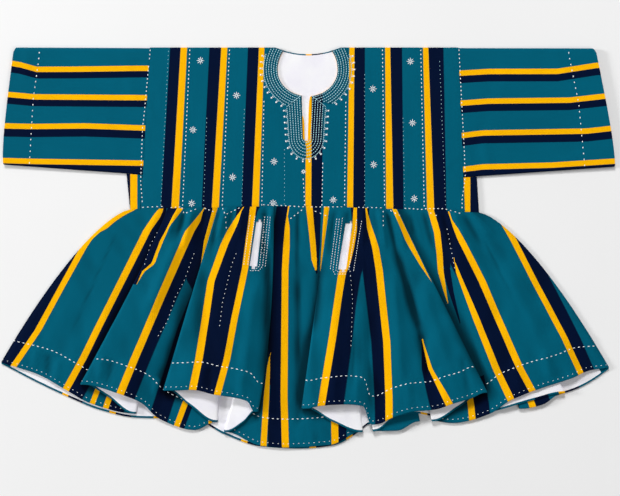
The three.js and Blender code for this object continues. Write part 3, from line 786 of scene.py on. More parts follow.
def hollowShadeAt(spots, around):
    # the painted shade a point gets from lying below the cloth around it
    corner, heights = around
    place = (spots[:, :2] - corner) / hollowShade["cell"] - 0.5
    low = place.astype(int)
    (s, t), (i, j) = (place - low).T, low.T
    height = mix(mix(heights[i, j], heights[i + 1, j], s),
                 mix(heights[i, j + 1], heights[i + 1, j + 1], s), t)
    return ease(height - spots[:, 2], hollowShade["from"], hollowShade["deepest"])


def makeSkirt(side, surface, stripes):
    name = "skirt" + side.title()
    piece, spots, column, row = skirtSheet(name, surface, 0, 1, skirt["middle"], hemTurn=True)
    corners = faceCorners(piece)
    columnOfFace, rowOfFace = column[corners].min(axis=1), row[corners].min(axis=1)
    yellows, navies, allowed = stripeFields(spots, stripes, surface["starts"], columnOfFace, corners)
    # painted shade: low spots and deep creases are painted darker
    troughShade = surface["troughShade"][np.minimum(row, len(skirtRows) - 1), column]
    stripeUv(piece, yellows, navies, allowed, np.maximum(hollowShadeAt(spots, heightsAround(surface)), troughShade))
    writeUv(piece, "weave", np.stack([column, row], axis=1)[corners] * skirt["weaveStep"] * mm)
    inset = skirt["liningInset"]
    columns = (inset, surface["spots"].shape[1] - 1 - inset)
    if side == "back":
        piece.data.flip_normals()
    else:
        cutPocketSlits(piece, surface, columnOfFace, rowOfFace)
    thicken(piece, skirt["thickness"])
    softEdges(piece, angle=60)
    dress(piece, stripedCloth, "striped_cloth", *[f"skirt_{side}_{i + 1}" for i in range(gores[side])])
    under, *_ = skirtSheet(name + "Lining", surface, skirt["liningStart"] - skirt["liningOverlap"],
                           skirt["liningTo"], skirt["liningMiddle"], columns)
    if side == "back":
        under.data.flip_normals()
    thicken(under, skirt["liningThickness"])
    softEdges(under, angle=60)
    dress(under, whiteCotton, "lining_cloth", f"lining_skirt_{side}")
    print(name, "made with", len(piece.data.polygons), "faces")
    return piece, under


def makePocketBag(side, surface):
    middle = surface["starts"][pocket["lines"][side]]
    columns = (middle - pocket["bagColumns"], middle + pocket["bagColumns"])
    bag, *_ = skirtSheet("pocketBag" + side.title(), surface, pocket["bagTop"], pocket["bagFoot"],
                         pocket["bagMiddle"], columns)
    thicken(bag, pocket["bagThickness"])
    softEdges(bag, angle=60)
    return dress(bag, whiteCotton, "lining_cloth", f"pocket_bag_{side}")


frontSurface, backSurface = skirtSurface("front", frontLines), skirtSurface("back", backLines)
skirtFront, skirtFrontLining = makeSkirt("front", frontSurface, frontStripes)
skirtBack, skirtBackLining = makeSkirt("back", backSurface, backStripes)
pocketBagLeft, pocketBagRight = makePocketBag("left", frontSurface), makePocketBag("right", frontSurface)


# Bodice: eight strips from shoulder to waist, front and back.

bodice = {
    "shoulderY": 458, "height": 363, "halfWidth": 370, "strips": 8,
    "frontMiddle": 4.0, "backMiddle": 0.8, "thickness": 1.5,
    "liningMiddle": 2.4, "liningThickness": 0.9, "liningInset": 3, "liningRipple": 0.22,
    "stripWidth": 90, "seamDepth": 0.35, "seamHalfWidth": 2.45,
    "puckerDepth": 0.14, "puckerTurn": 0.62, "puckerWidth": 9,
    "columnsPerStrip": 14, "rows": 72,
}
seamLines = [
    # x at the shoulder and at the waist
    (-363, -384), (-271, -289), (-180, -197), (-94, -106), (-5, -6),
    (86, 84), (172, 174), (260, 265), (345, 360),
]
stripStripes = [
    # yellow from and to, navy from and to, as shares of each strip's width; at the shoulder and at the waist
    ((0.77, 0.93, 0.505, 0.77), (0.74, 0.92, 0.484, 0.74)),
    ((0.79, 0.945, 0.49, 0.79), (0.74, 0.915, 0.485, 0.74)),
    ((0.785, 0.93, 0.49, 0.785), (0.75, 0.925, 0.486, 0.75)),
    ((1.4, 1.5, 1.5, 1.6), (1.4, 1.5, 1.5, 1.6)),    # outside the strip, which is plain
    ((0.0, 0.15, 0.15, 0.43), (0.0, 0.15, 0.15, 0.43)),
    ((0.107, 0.24, 0.24, 0.52), (0.064, 0.217, 0.217, 0.52)),
    ((0.058, 0.19, 0.19, 0.50), (0.06, 0.24, 0.24, 0.50)),
    ((0.046, 0.19, 0.19, 0.60), (0.09, 0.26, 0.26, 0.56)),
]
neck = {
    "x": -1, "y": 407, "halfWidth": 69, "drop": 61, "rise": 75,
    "slitX": -4, "slitTop": 25, "slitFootWidth": 15, "slitFoot": 244,
    # bandShade is an even painted shade on the neck band, for the shade among its dense stitching
    "bandWidth": 30, "bandMiddle": 5.25, "bandThickness": 0.7, "bandShade": 0.3,
    "bandColumns": 10, "ribs": 6, "ribHeight": 0.12, "belowShoulder": 0.3,
    "backDip": 15, "backHalfWidth": 75,
    "cutMiddle": 4, "cutDepth": 12, "ovalPoints": 72,
}


def shoulderAt(x):
    return bodice["shoulderY"] - neck["backDip"] * np.clip(1 - (x / neck["backHalfWidth"]) ** 2, 0, 1)


def seamAt(k, y):
    top, foot = seamLines[k]
    return mix(top, foot, (bodice["shoulderY"] - y) / (bodice["shoulderY"] - waistY(np.float64(foot))))


def stripPlace(x, y):
    # how many strips lie to the left of a point, with the share of its own
    place = np.full(np.shape(x), -1.0)
    for k in range(bodice["strips"]):
        left, right = seamAt(k, y), seamAt(k + 1, y)
        inside = (x >= left) & (x <= right)
        place = np.where(inside, k + (x - left) / (right - left), place)
    return np.where(place < 0, np.where(x < 0, 0.0, bodice["strips"] - 0.001), place)


def bodiceUv(piece, spots, paintedShade=0):
    corners = faceCorners(piece)
    x, y = spots[:, 0], spots[:, 1]
    centre = spots[corners].mean(axis=1)
    stripOfFace = np.minimum(stripPlace(centre[:, 0], centre[:, 1]).astype(int), bodice["strips"] - 1)
    down = np.clip((bodice["shoulderY"] - y) / bodice["height"], 0, 1)
    yellows, navies = [], []
    for k, (atShoulder, atWaist) in enumerate(stripStripes):
        share = (x - seamAt(k, y)) / (seamAt(k + 1, y) - seamAt(k, y))
        limits = [mix(a, b, down) for a, b in zip(atShoulder, atWaist)]
        yellows.append(across(share, *limits[:2]))
        navies.append(across(share, *limits[2:]))
    allowed = np.arange(bodice["strips"])[:, None] == stripOfFace
    stripeUv(piece, yellows, navies, allowed, paintedShade)
    writeUv(piece, "weave", (spots[:, :2] * mm)[corners])


def bodiceHeight(x, y, isFront):
    # how far the cloth is moved up or down off its flat height
    place = stripPlace(x, y)
    toSeam = np.abs(place - np.rint(place)) * bodice["stripWidth"]
    groove = np.exp(-(toSeam / bodice["seamHalfWidth"]) ** 2) * bodice["seamDepth"]
    pucker = bodice["puckerDepth"] * np.sin(y * bodice["puckerTurn"] + 3 * np.rint(place))
    pucker = pucker * np.exp(-(toSeam / bodice["puckerWidth"]) ** 2)
    if isFront:
        return creaseLift(x, y, bodiceCreases) - groove + pucker
    return groove + np.abs(pucker)


def bodiceSheet(name, middle, inset=0, isFront=True):
    strips, perStrip, rows = bodice["strips"], bodice["columnsPerStrip"], bodice["rows"]
    piece, column, row = gridSheet(name, strips * perStrip, rows)
    strip = np.minimum(column // perStrip, strips - 1)
    share = column / perStrip - strip
    tops, feet = (np.array(values, float) for values in zip(*seamLines))
    down = row / rows
    x = mix(mix(tops[strip], tops[strip + 1], share), mix(feet[strip], feet[strip + 1], share), down)
    y = mix(shoulderAt(x), waistY(x), down)
    x = x * (1 - inset / bodice["halfWidth"])
    y = y - inset * (1 - 2 * down)
    spots = np.stack([x, y, middle + bodiceHeight(x, y, isFront)], axis=1)
    placeSpots(piece, spots)
    return piece, spots


def cutHeights(z):
    return neck["cutMiddle"] + z * neck["cutDepth"]


def neckCutters():
    # an oval and a wedge, taken out of the front
    deselectAll()
    bpy.ops.mesh.primitive_cylinder_add(vertices=neck["ovalPoints"], radius=1, depth=1)
    oval = bpy.context.object
    x, y, z = readSpots(oval).T
    reach = np.where(y < 0, neck["drop"], neck["rise"])
    x, y = neck["x"] + x * neck["halfWidth"], neck["y"] + y * reach
    placeSpots(oval, np.stack([x, y, cutHeights(z)], axis=1))
    deselectAll()
    bpy.ops.mesh.primitive_cube_add(size=1)
    slit = bpy.context.object
    x, y, z = readSpots(slit).T
    wide = np.where(y > 0, neck["slitTop"], neck["slitFootWidth"])
    y = np.where(y > 0, neck["y"], neck["slitFoot"])
    placeSpots(slit, np.stack([neck["slitX"] + x * wide, y, cutHeights(z)], axis=1))
    for cutter in (oval, slit):
        for name in ("stripes", "weave"):
            cutter.data.uv_layers.new(name=name)
    return oval, slit


def finishBodice(piece, side):
    softEdges(piece, angle=40)
    nodes = [f"bodice_{side}_{i + 1}" for i in range(bodice["strips"])]
    return dress(piece, stripedCloth, "striped_cloth", *nodes)


def makeBodice():
    front, spots = bodiceSheet("bodiceFront", bodice["frontMiddle"])
    bodiceUv(front, spots)
    thicken(front, bodice["thickness"])
    for cutter in neckCutters():
        applyModifier(front, "BOOLEAN", operation="DIFFERENCE", solver="EXACT", object=cutter)
        bpy.data.objects.remove(cutter)
    finishBodice(front, "front")
    back, spots = bodiceSheet("bodiceBack", bodice["backMiddle"], isFront=False)
    bodiceUv(back, spots)
    thicken(back, bodice["thickness"])
    finishBodice(back, "back")
    under, spots = bodiceSheet("bodiceLining", bodice["liningMiddle"], bodice["liningInset"])
    x, y, _ = spots.T
    ripple = np.sin(x / 13 + y / 31) * np.sin(y / 17 - x / 41)
    spots[:, 2] = bodice["liningMiddle"] + bodice["liningRipple"] * ripple
    placeSpots(under, spots)
    thicken(under, bodice["liningThickness"])
    softEdges(under, angle=40)
    dress(under, whiteCotton, "lining_cloth", "lining_bodice")
    return front, back, under


bodiceFront, bodiceBack, bodiceLining = makeBodice()
print("bodice made")


# Neck band: an oval in two halves and a U round the slit, with mitred corners.

ovalEnds = {
    # where a half starts at the shoulder and ends at the mitre, in degrees, at its inner and its outer edge
    "start": (137.3, 150.2), "left": (259.2, 241.0), "right": (263.5, 237.5),
}
slitShape = {
    "innerTop": 346, "outerTop": 322, "straightTo": 252, "innerFoot": 243, "outerFoot": 205,
    "topHalf": (13, 42.5), "footHalf": (8, 38),    # half widths at the top and at the foot, inner and outer
    "leg": 0.36,                                    # the share of its length that one leg takes
}


def ovalAt(degrees, out):
    # a point on the neck oval, moved outwards by a distance
    turn = np.radians(degrees)
    reach = np.where(np.sin(turn) < 0, neck["drop"], neck["rise"])
    x, y = neck["halfWidth"] * np.cos(turn), reach * np.sin(turn)
    normal = np.stack([np.cos(turn) / neck["halfWidth"], np.sin(turn) / reach])
    normal = normal / np.linalg.norm(normal, axis=0)
    return neck["x"] + x + normal[0] * out, neck["y"] + y + normal[1] * out


def ovalBand(side, along, out):
    # along runs from the shoulder (0) to the mitre (1), out from the neck edge (0) to the outer edge (1)
    degrees = mix(mix(*ovalEnds["start"], out), mix(*ovalEnds[side], out), along)
    if side == "right":
        degrees = 540 - degrees    # mirrored
    return ovalAt(degrees, out * neck["bandWidth"])


def slitBand(along, out):
    # along runs down the left leg, round the foot and up the right leg
    mirrored = np.where(along > 0.5, 1.0, -1.0)
    down, leg = np.minimum(along, 1 - along), slitShape["leg"]
    straight = np.clip(down / leg, 0, 1)
    turn = np.clip((down - leg) / (0.5 - leg), 0, 1) * math.pi / 2
    top = mix(slitShape["innerTop"], slitShape["outerTop"], out)
    foot = mix(slitShape["innerFoot"], slitShape["outerFoot"], out)
    half = mix(mix(*slitShape["topHalf"], out), mix(*slitShape["footHalf"], out), straight)
    x = neck["slitX"] + mirrored * half * np.cos(turn)
    return x, mix(top, slitShape["straightTo"], straight) + (foot - slitShape["straightTo"]) * np.sin(turn)


def bandSheet(name, shape, rows, node):
    piece, column, row = gridSheet(name, neck["bandColumns"], rows)
    out = column / neck["bandColumns"]
    x, y = shape(row / rows, out)
    y = np.minimum(y, shoulderAt(x) - neck["belowShoulder"])
    ribs = neck["ribHeight"] * np.cos(out * neck["ribs"] * 2 * math.pi)
    spots = np.stack([x, y, neck["bandMiddle"] + ribs + creaseLift(x, y, bodiceCreases)], axis=1)
    placeSpots(piece, spots)
    # the band is painted evenly darker: painted shade
    bodiceUv(piece, spots, neck["bandShade"])
    onAllFaces(piece, bpy.ops.mesh.normals_make_consistent, inside=False)
    turnUp(piece)
    thicken(piece, neck["bandThickness"])
    softEdges(piece, angle=50)
    return dress(piece, stripedCloth, "band_cloth", node)


leftHalf, rightHalf = partial(ovalBand, "left"), partial(ovalBand, "right")
neckBandLeft = bandSheet("neckBandLeft", leftHalf, 44, "neck_band_left")
neckBandRight = bandSheet("neckBandRight", rightHalf, 44, "neck_band_right")
slitBandPiece = bandSheet("slitBand", slitBand, 60, "slit_band")
print("neck band made")


# Sleeves: a loomed width folded along the shoulder, its stripes running along the arm.

sleeveSizes = {
    "left": {"cuffTopX": -674, "cuffBottomX": -698, "cuffTop": 458, "armTop": 457,
             "cuffBottom": 189, "armBottom": 166,
             "navies": (15, 15.4, 18.4, 24)},
    "right": {"cuffTopX": 659, "cuffBottomX": 703, "cuffTop": 456, "armTop": 457,
              "cuffBottom": 184, "armBottom": 160,
              "navies": (16.8, 16.8, 18, 24)},
    "cuffLoft": 9, "armLoft": 4.8, "thickness": 1.4, "cuffBow": 5.5, "cornerCut": 6,
    "bowShape": 0.6, "cornerFrom": 0.95, "offBody": 0.3,
    "creaseFrom": 1.5, "creaseFull": 4.5,    # creases come in between these heights
    "cuffFlat": 0.05, "armFlat": 0.93,       # and fade at these shares of the sleeve's length
    "rings": 48, "flatSteps": 40, "bendSteps": 6, "upperSide": 3.5, "joined": 0.02,
}
sleeveYellow = 12.4
sleeveStripes = {
    # the upper edge of each yellow stripe from the cuff to the armhole; navy lies below it
    "left": [
        [(-700, 430.5), (-660, 424), (-622, 413.5), (-540, 414), (-380, 416.5)],
        [(-700, 357), (-628, 350.5), (-380, 349)],
        [(-700, 284), (-635, 282.5), (-510, 284), (-366, 279)],
        [(-700, 204.5), (-630, 202.5), (-366, 198.5)],
    ],
    "right": [
        [(345, 405), (414, 409), (573, 409), (664, 423)],
        [(345, 336), (414, 341), (600, 343), (690, 353)],
        [(345, 261), (400, 268), (640, 272), (703, 279)],
        [(345, 183), (400, 190), (560, 194), (703, 203)],
    ],
}
sleeveCreases = [
    (-420, 440, -400, 330, 12, 1.0), (-640, 452, -650, 380, 10, 1.2), (-600, 210, -500, 196, 12, 1.2),
    (-470, 300, -430, 190, 14, 1.0), (400, 250, 420, 170, 10, 1.4), (384, 210, 410, 300, 12, -1.0),
    (560, 452, 600, 380, 12, 1.2), (640, 210, 560, 196, 12, 1.2), (450, 420, 440, 330, 14, 0.9),
]


def sleeveSection(lowY, highY, loft):
    # a flat oval: the underside, the folded edge, the upper side and the sewn edge
    flat, bend = sleeveSizes["flatSteps"], sleeveSizes["bendSteps"]
    radius = loft / 2
    low, high = lowY + radius, highY - radius
    under = [(mix(low, high, i / flat), 0) for i in range(flat)]
    fold = [(high + radius * math.sin(i / bend * math.pi), radius - radius * math.cos(i / bend * math.pi))
            for i in range(bend)]
    over = [(mix(high, low, i / flat), loft) for i in range(flat)]
    seam = [(low - radius * math.sin(i / bend * math.pi), radius + radius * math.cos(i / bend * math.pi))
            for i in range(bend + 1)]
    return np.array(under + fold + over + seam)


def makeSleeve(side):
    sizes = sleeveSizes[side]
    rows = sleeveSizes["rings"]
    armEdge, outward = (0, -1) if side == "left" else (8, 1)
    made = []
    for ring in range(rows + 1):
        share = ring / rows
        section = sleeveSection(mix(sizes["cuffBottom"], sizes["armBottom"], share),
                                mix(sizes["cuffTop"], sizes["armTop"], share),
                                mix(sleeveSizes["cuffLoft"], sleeveSizes["armLoft"], share))
        y, z = section[:, 0], section[:, 1]
        tall = sizes["cuffTop"] - sizes["cuffBottom"]
        upCuff = np.clip((y - sizes["cuffBottom"]) / tall, 0, 1)
        bow = sleeveSizes["cuffBow"] * np.sin(np.pi * upCuff ** sleeveSizes["bowShape"])
        intoCorner = (upCuff - sleeveSizes["cornerFrom"]) / (1 - sleeveSizes["cornerFrom"])
        corner = sleeveSizes["cornerCut"] * np.clip(intoCorner, 0, 1) ** 2
        cuffX = mix(sizes["cuffBottomX"], sizes["cuffTopX"], upCuff) + outward * (bow - corner)
        armX = seamAt(armEdge, y) + outward * sleeveSizes["offBody"]
        x = mix(cuffX, armX, share)
        top = ease(z, sleeveSizes["creaseFrom"], sleeveSizes["creaseFull"])
        ends = ease(share, 0, sleeveSizes["cuffFlat"]) * ease(-share, -1, -sleeveSizes["armFlat"])
        z = z + creaseLift(x, y, sleeveCreases) * top * ends
        made.append(np.stack([x, y, z], axis=1))
    made = np.stack(made)
    name = "sleeve" + side.title()
    piece, column, row = gridSheet(name, made.shape[1] - 1, rows)
    spots = made[row, column]
    placeSpots(piece, spots)
    yellows, navies = [], []
    for path, navy in zip(sleeveStripes[side], sizes["navies"]):
        path = sorted(path)
        below = np.interp(spots[:, 0], *zip(*path)) - spots[:, 1]
        yellows.append(across(below, 0, sleeveYellow))
        navies.append(across(below, sleeveYellow, sleeveYellow + navy))
    corners = faceCorners(piece)
    stripeUv(piece, yellows, navies, np.ones((len(yellows), len(corners)), bool))
    writeUv(piece, "weave", (spots[:, [1, 0]] * mm)[corners])
    onAllFaces(piece, bpy.ops.mesh.remove_doubles, threshold=sleeveSizes["joined"] * mm)
    turnUp(piece, sleeveSizes["upperSide"])
    thicken(piece, sleeveSizes["thickness"], offset=-1)
    softEdges(piece, angle=60)
    return dress(piece, stripedCloth, "striped_cloth", f"sleeve_{side}")


# Gussets: small squares folded under the arms.

gussetSizes = {
    "left": {"topX": -417, "waistX": -409, "edge": 0, "outward": -1,
             "yellow": (-408, -392), "navy": (-424, -408)},
    "right": {"topX": 388, "waistX": 393, "edge": 8, "outward": 1,
              "yellow": (356.5, 372.5), "navy": (372.5, 395)},
    "rows": 12, "flatSteps": 6, "bendSteps": 8,
    "radius": 2.4, "thickness": 1.4,    # of the fold, and of the cloth
    "offBody": 1.0, "belowArm": 0.6, "aboveWaist": 0.2,
}


def makeGusset(side):
    sizes, arm = gussetSizes[side], sleeveSizes[side]
    edge, outward = sizes["edge"], sizes["outward"]
    rows, flat, bend = gussetSizes["rows"], gussetSizes["flatSteps"], gussetSizes["bendSteps"]
    radius, offBody = gussetSizes["radius"], gussetSizes["offBody"]
    made = []
    for i in range(rows + 1):
        share = i / rows
        line = []
        outerX = mix(sizes["topX"], sizes["waistX"], share)
        armX = mix(seamAt(edge, arm["armBottom"]), seamLines[edge][1], share) + outward * offBody
        cuffX = arm["cuffBottomX"]
        for k in range(flat * 2 + bend + 1):
            if k <= flat:
                x, z = mix(armX, outerX - outward * radius, k / flat), 0.0
            elif k >= flat + bend:
                x, z = mix(outerX - outward * radius, armX, (k - flat - bend) / flat), 2 * radius
            else:
                turn = (k - flat) / bend * math.pi
                x, z = outerX - outward * radius * (1 - math.sin(turn)), radius * (1 - math.cos(turn))
            topY = mix(arm["cuffBottom"], arm["armBottom"], (x - cuffX) / (armX - cuffX))
            topY = topY - gussetSizes["belowArm"]
            footY = float(waistY(np.float64(x))) + gussetSizes["aboveWaist"]
            line.append((x, mix(topY, footY, share), z))
        made.append(line)
    made = np.array(made)
    piece, column, row = gridSheet("gusset" + side.title(), made.shape[1] - 1, rows)
    spots = made[row, column]
    placeSpots(piece, spots)
    yellow, navy = (across(spots[:, 0], *sizes[kind]) for kind in ("yellow", "navy"))
    corners = faceCorners(piece)
    stripeUv(piece, [yellow], [navy], np.ones((1, len(corners)), bool))
    writeUv(piece, "weave", (spots[:, :2] * mm)[corners])
    turnUp(piece, 4)
    thicken(piece, gussetSizes["thickness"], offset=-1)
    softEdges(piece, angle=60)
    return dress(piece, stripedCloth, "gusset_cloth", f"gusset_{side}")


sleeveLeft, sleeveRight = makeSleeve("left"), makeSleeve("right")
gussetLeft, gussetRight = makeGusset("left"), makeGusset("right")
print("sleeves and gussets made")


# The turned edges of the neck slit show a narrow yellow facing on each side.

facing = {
    "width": 6.2, "middle": 3.6, "thickness": 0.6, "under": 2, "columns": 4, "rows": 30,
    "left": (300, 246), "right": (345, 246),    # top and foot
    "widens": (-0.5, 0.3),                      # the shares of its length where it comes to its full width
    "ripple": 0.15, "rippleLength": 9,
}


def makeFacing(side):
    top, foot = facing[side]
    outward = -1 if side == "left" else 1
    piece, column, row = gridSheet("slitFacing" + side.title(), facing["columns"], facing["rows"])
    share = row / facing["rows"]
    y = mix(top, foot, share)
    half = mix(neck["slitTop"], neck["slitFootWidth"], (neck["y"] - y) / (neck["y"] - neck["slitFoot"])) / 2
    wide = facing["width"] * ease(share, *facing["widens"])
    x = neck["slitX"] + outward * (half + facing["under"] - column / facing["columns"] * wide)
    ripple = facing["ripple"] * np.sin(y / facing["rippleLength"])
    placeSpots(piece, np.stack([x, y, facing["middle"] + ripple], axis=1))
    corners = faceCorners(piece)
    writeUv(piece, "stripes", np.tile((0.0, noStripe), (corners.size, 1)))
    writeUv(piece, "paintedShade", np.zeros((corners.size, 2)))
    writeUv(piece, "weave", np.stack([x, y], axis=1)[corners] * mm)
    turnUp(piece)
    thicken(piece, facing["thickness"])
    softEdges(piece, angle=50)
    return dress(piece, stripedCloth, "striped_cloth")


slitFacings = [makeFacing("left"), makeFacing("right")]


# Sewing: one stitch, made longer, wider or rounder, and copied along rows that lie on the cloth.

def stitchShape():
    deselectAll()
    bpy.ops.mesh.primitive_uv_sphere_add(segments=6, ring_count=4, radius=0.5)
    shape = bpy.context.object
    spots = readSpots(shape)[:, [2, 1, 0]] * (1, 1, -1)   # lies along X
    faces = [tuple(face.vertices) for face in shape.data.polygons]
    bpy.data.objects.remove(shape)
    return spots, faces


stitchSpots, stitchFaces = stitchShape()
clothPieces = [skirtFront, bodiceFront, sleeveLeft, sleeveRight, gussetLeft, gussetRight, neckBandLeft,
               neckBandRight, slitBandPiece]
graph = bpy.context.evaluated_depsgraph_get()
clothTrees = [BVHTree.FromObject(piece, graph) for piece in clothPieces]


def dropOn(x, y):
    # the highest cloth under a point, and which way it faces
    best = None
    for tree in clothTrees:
        spot, normal, _, _ = tree.ray_cast(Vector((x, y, sewing["dropFrom"])) * mm, Vector((0, 0, -1)))
        if spot and (best is None or spot.z > best[0].z):
            best = (spot, normal)
    return best


def alongPath(path, pitch):
    # even places along a line of points, with its direction at each
    path = np.array(path, float)
    length = np.concatenate([[0], np.cumsum(np.hypot(*np.diff(path, axis=0).T))])
    count = max(int(length[-1] / pitch), 1)
    places = (np.arange(count) + 0.5) * length[-1] / count
    x, y = np.interp(places, length, path[:, 0]), np.interp(places, length, path[:, 1])
    ahead = np.minimum(places + 1, length[-1])
    behind = np.maximum(places - 1, 0)
    dx = np.interp(ahead, length, path[:, 0]) - np.interp(behind, length, path[:, 0])
    dy = np.interp(ahead, length, path[:, 1]) - np.interp(behind, length, path[:, 1])
    return x, y, np.arctan2(dy, dx)


def sew(name, stitches, material, slot="band_cloth"):
    # stitches: x, y, angle, length, width, height of each one
    allSpots, allFaces = [], []
    for i, (x, y, angle, length, width, height, *level) in enumerate(stitches):
        found = dropOn(x, y)
        if not found:
            continue
        place, normal = found
        isHidden = level and abs(place.z / mm - level[0]) > sewing["hiddenBeyond"]
        if normal.z < sewing["steepest"] or isHidden:
            continue
        wobble = sewing["wobble"] * math.sin(i * 2.4)
        ahead = Vector((math.cos(angle + wobble), math.sin(angle + wobble), 0))
        ahead = (ahead - normal * ahead.dot(normal)).normalized()
        aside = normal.cross(ahead)
        turn = np.array([ahead, aside, normal])
        size = np.array([length * (1 + sewing["uneven"] * math.sin(i * 1.7)), width, height])
        start = len(allSpots) * len(stitchSpots)
        local = (stitchSpots * size * mm) @ turn
        allSpots.append(local + np.array(place) + np.array(normal) * height * sewing["raised"] * mm)
        allFaces += [tuple(start + k for k in face) for face in stitchFaces]
    if not allSpots:
        return None
    data = bpy.data.meshes.new(name)
    data.from_pydata(np.concatenate(allSpots), [], allFaces)
    piece = bpy.data.objects.new(name, data)
    bpy.context.scene.collection.objects.link(piece)
    softEdges(piece, angle=80)
    return dress(piece, material, slot)


sewing = {
    "seam": (4.1, 2.2, 1.1), "seamPitch": 9.2,      # length, width and height of a stitch
    "faint": (2.6, 1.2, 0.6), "faintPitch": 9.5,
    "hem": (5.4, 2.0, 1.0), "hemPitch": 11.4,
    "edge": (3.0, 1.4, 0.7), "edgePitch": 11.8,
    "skirt": (2.9, 1.5, 0.8), "skirtPitch": 10.4,
    "neck": (3.9, 1.9, 1.0), "neckPitch": 5.2, "neckRows": 5,
    "arm": (8.2, 1.6, 0.7), "bead": (4.4, 4.2, 2.2), "loop": (3.6, 1.4, 0.8), "picotPitch": 13.2,
    "cornerPitch": 4.0, "edgeOfNeckPitch": 4.4, "pocketPitch": 5.6, "cuffPitch": 13.2,
    "firstNeckRow": 0.09, "neckSpread": 0.97, "neckBelowShoulder": 1.5, "neckSteps": 160,
    "wobble": 0.10, "uneven": 0.08,       # how much stitches differ in direction and in length
    "raised": 0.12,                       # the share of its height that a stitch is lifted by
    "steepest": 0.25, "facingUp": 0.3,    # cloth that stands up more steeply than this isn't sewn
    "hiddenBeyond": 2.2, "above": 0.8,    # a hem stitch is left out where other cloth lies over its own
    "dropFrom": 200,                      # the height that stitches are dropped from
}
picot = {
    "bead": 7.2, "loop": 6, "half": 2.6,         # how far out a bead and its loop stand, and half its foot
    "edgeShare": 1.06, "belowShoulder": 14,
}
mitreRow = [(12.5, 347), (45, 322)]              # on both sides of the slit's middle
star = {
    "arms": 8, "gap": 0.8, "shorter": 0.92,
    "slitX": -10, "slitY": 173, "slitReach": 3.4, "slitLength": 5,    # the small one under the slit
}


def rowOf(path, kind="seam", pitch=None):
    x, y, angle = alongPath(path, pitch or sewing[kind + "Pitch"])
    return [(a, b, c, *sewing[kind]) for a, b, c in zip(x, y, angle)]


bodiceRows = [
    [(-362, 456), (-374, 326), (-380, 268), (-384, 150), (-380, 100)],
    [(-271, 456), (-288, 92)], [(-180, 456), (-197, 92)], [(-101, 338), (-106, 92)], [(-11, 160), (-7, 92)],
    [(87, 336), (84, 92)], [(171, 456), (176, 92)], [(259, 456), (267, 90)],
    [(346.5, 456), (353, 330), (359, 220), (361, 160), (354, 110), (354, 86)], [(34, 196), (32, 92)],
]
bodiceFaintRows = [
    [(-320, 454), (-338, 92)], [(-54, 228), (-54, 94)], [(130, 400), (130, 92)], [(302, 430), (316, 92)],
    [(218, 300), (222, 92)], [(-232, 300), (-240, 92)], [(-146, 320), (-152, 92)],
]
waistRows = [
    [(-384, 91), (-330, 93)], [(-318, 90), (-290, 92)], [(-290, 94), (-284, 76), (-244, 92)],
    [(-197, 92), (-189, 74), (-154, 91)], [(-189, 74), (-187, 38)], [(-106, 97), (-60, 95), (-6, 92)],
    [(-43, 63), (-11, 87)], [(4, 92), (82, 92)], [(12, 84), (46, 70)], [(112, 91), (172, 90)],
    [(172, 86), (172, 44)], [(176, 90), (214, 70)], [(219, 89), (265, 86), (272, 88), (313, 88)],
    [(276, 80), (300, 70)], [(313, 88), (352, 76)], [(-240, 90), (-214, 80)],
]
pocketRows = [
    [(-132, 74), (-147, -42)], [(-121, 72), (-138, -42)], [(-92, 71), (-104, -44), (-112, -54), (-134, -54)],
    [(-99, 71), (-111, -44), (-118, -49), (-132, -49)], [(-86, 70), (-98, -46)],
    [(72, 66), (57, -54), (62, -62), (88, -62)], [(79, 68), (64, -54), (70, -57), (88, -57)],
    [(112, 64), (93, -54)], [(123, 61), (104, -56)], [(66, 66), (51, -52)],
]
skirtSeamRows = [
    [(-344, 37), (-362, 5), (-375, -44)],
    [(-260, -11), (-283, -75), (-304, -115), (-322, -170), (-345, -207)],
    [(-163, -11), (-174, -39), (-195, -125), (-202, -184)], [(318, 46), (327, 0), (337, -53)],
    [(95, -40), (102, -120), (98, -230)], [(-100, 40), (-106, -20)],
]
stars = [
    (-247, 428), (-164, 348), (-264, 269), (-78, 196), (-173, 160), (-267, 100), (-80, 101),
    (235, 426), (149, 363), (240, 285), (151, 189), (244, 111), (58, 108),
]
cuffRows = [
    [(-616, 452), (-616, 439), (-630, 338), (-639, 186)],
    [(598, 452), (598, 442), (621, 327), (635, 180)],
]


def hemStitches(surface, distance, kind="hem"):
    # a row at an even distance above the hem, on the cloth that faces up
    spots, normals = surface["spots"], surface["normals"]
    lengths = np.linalg.norm(spots[-1] - spots[0], axis=1)
    place = np.clip(1 - distance / lengths, 0, 1)
    found, travelled = [], 0.0
    previous = None
    for j in range(spots.shape[1]):
        level = np.array([np.interp(place[j], skirtRows, spots[:, j, k]) for k in range(3)])
        nearest = int(np.argmin(np.abs(skirtRows - place[j])))
        if normals[nearest, j, 2] < sewing["facingUp"]:
            previous = None
            continue
        if previous is not None:
            step = level - previous
            reach = math.hypot(step[0], step[1])
            while travelled < reach:
                x, y, z = previous + step * travelled / reach
                angle = math.atan2(step[1], step[0])
                found.append((x, y, angle, *sewing[kind], z + sewing["above"]))
                travelled += sewing[kind + "Pitch"]
            travelled -= reach
        previous = level
    return found


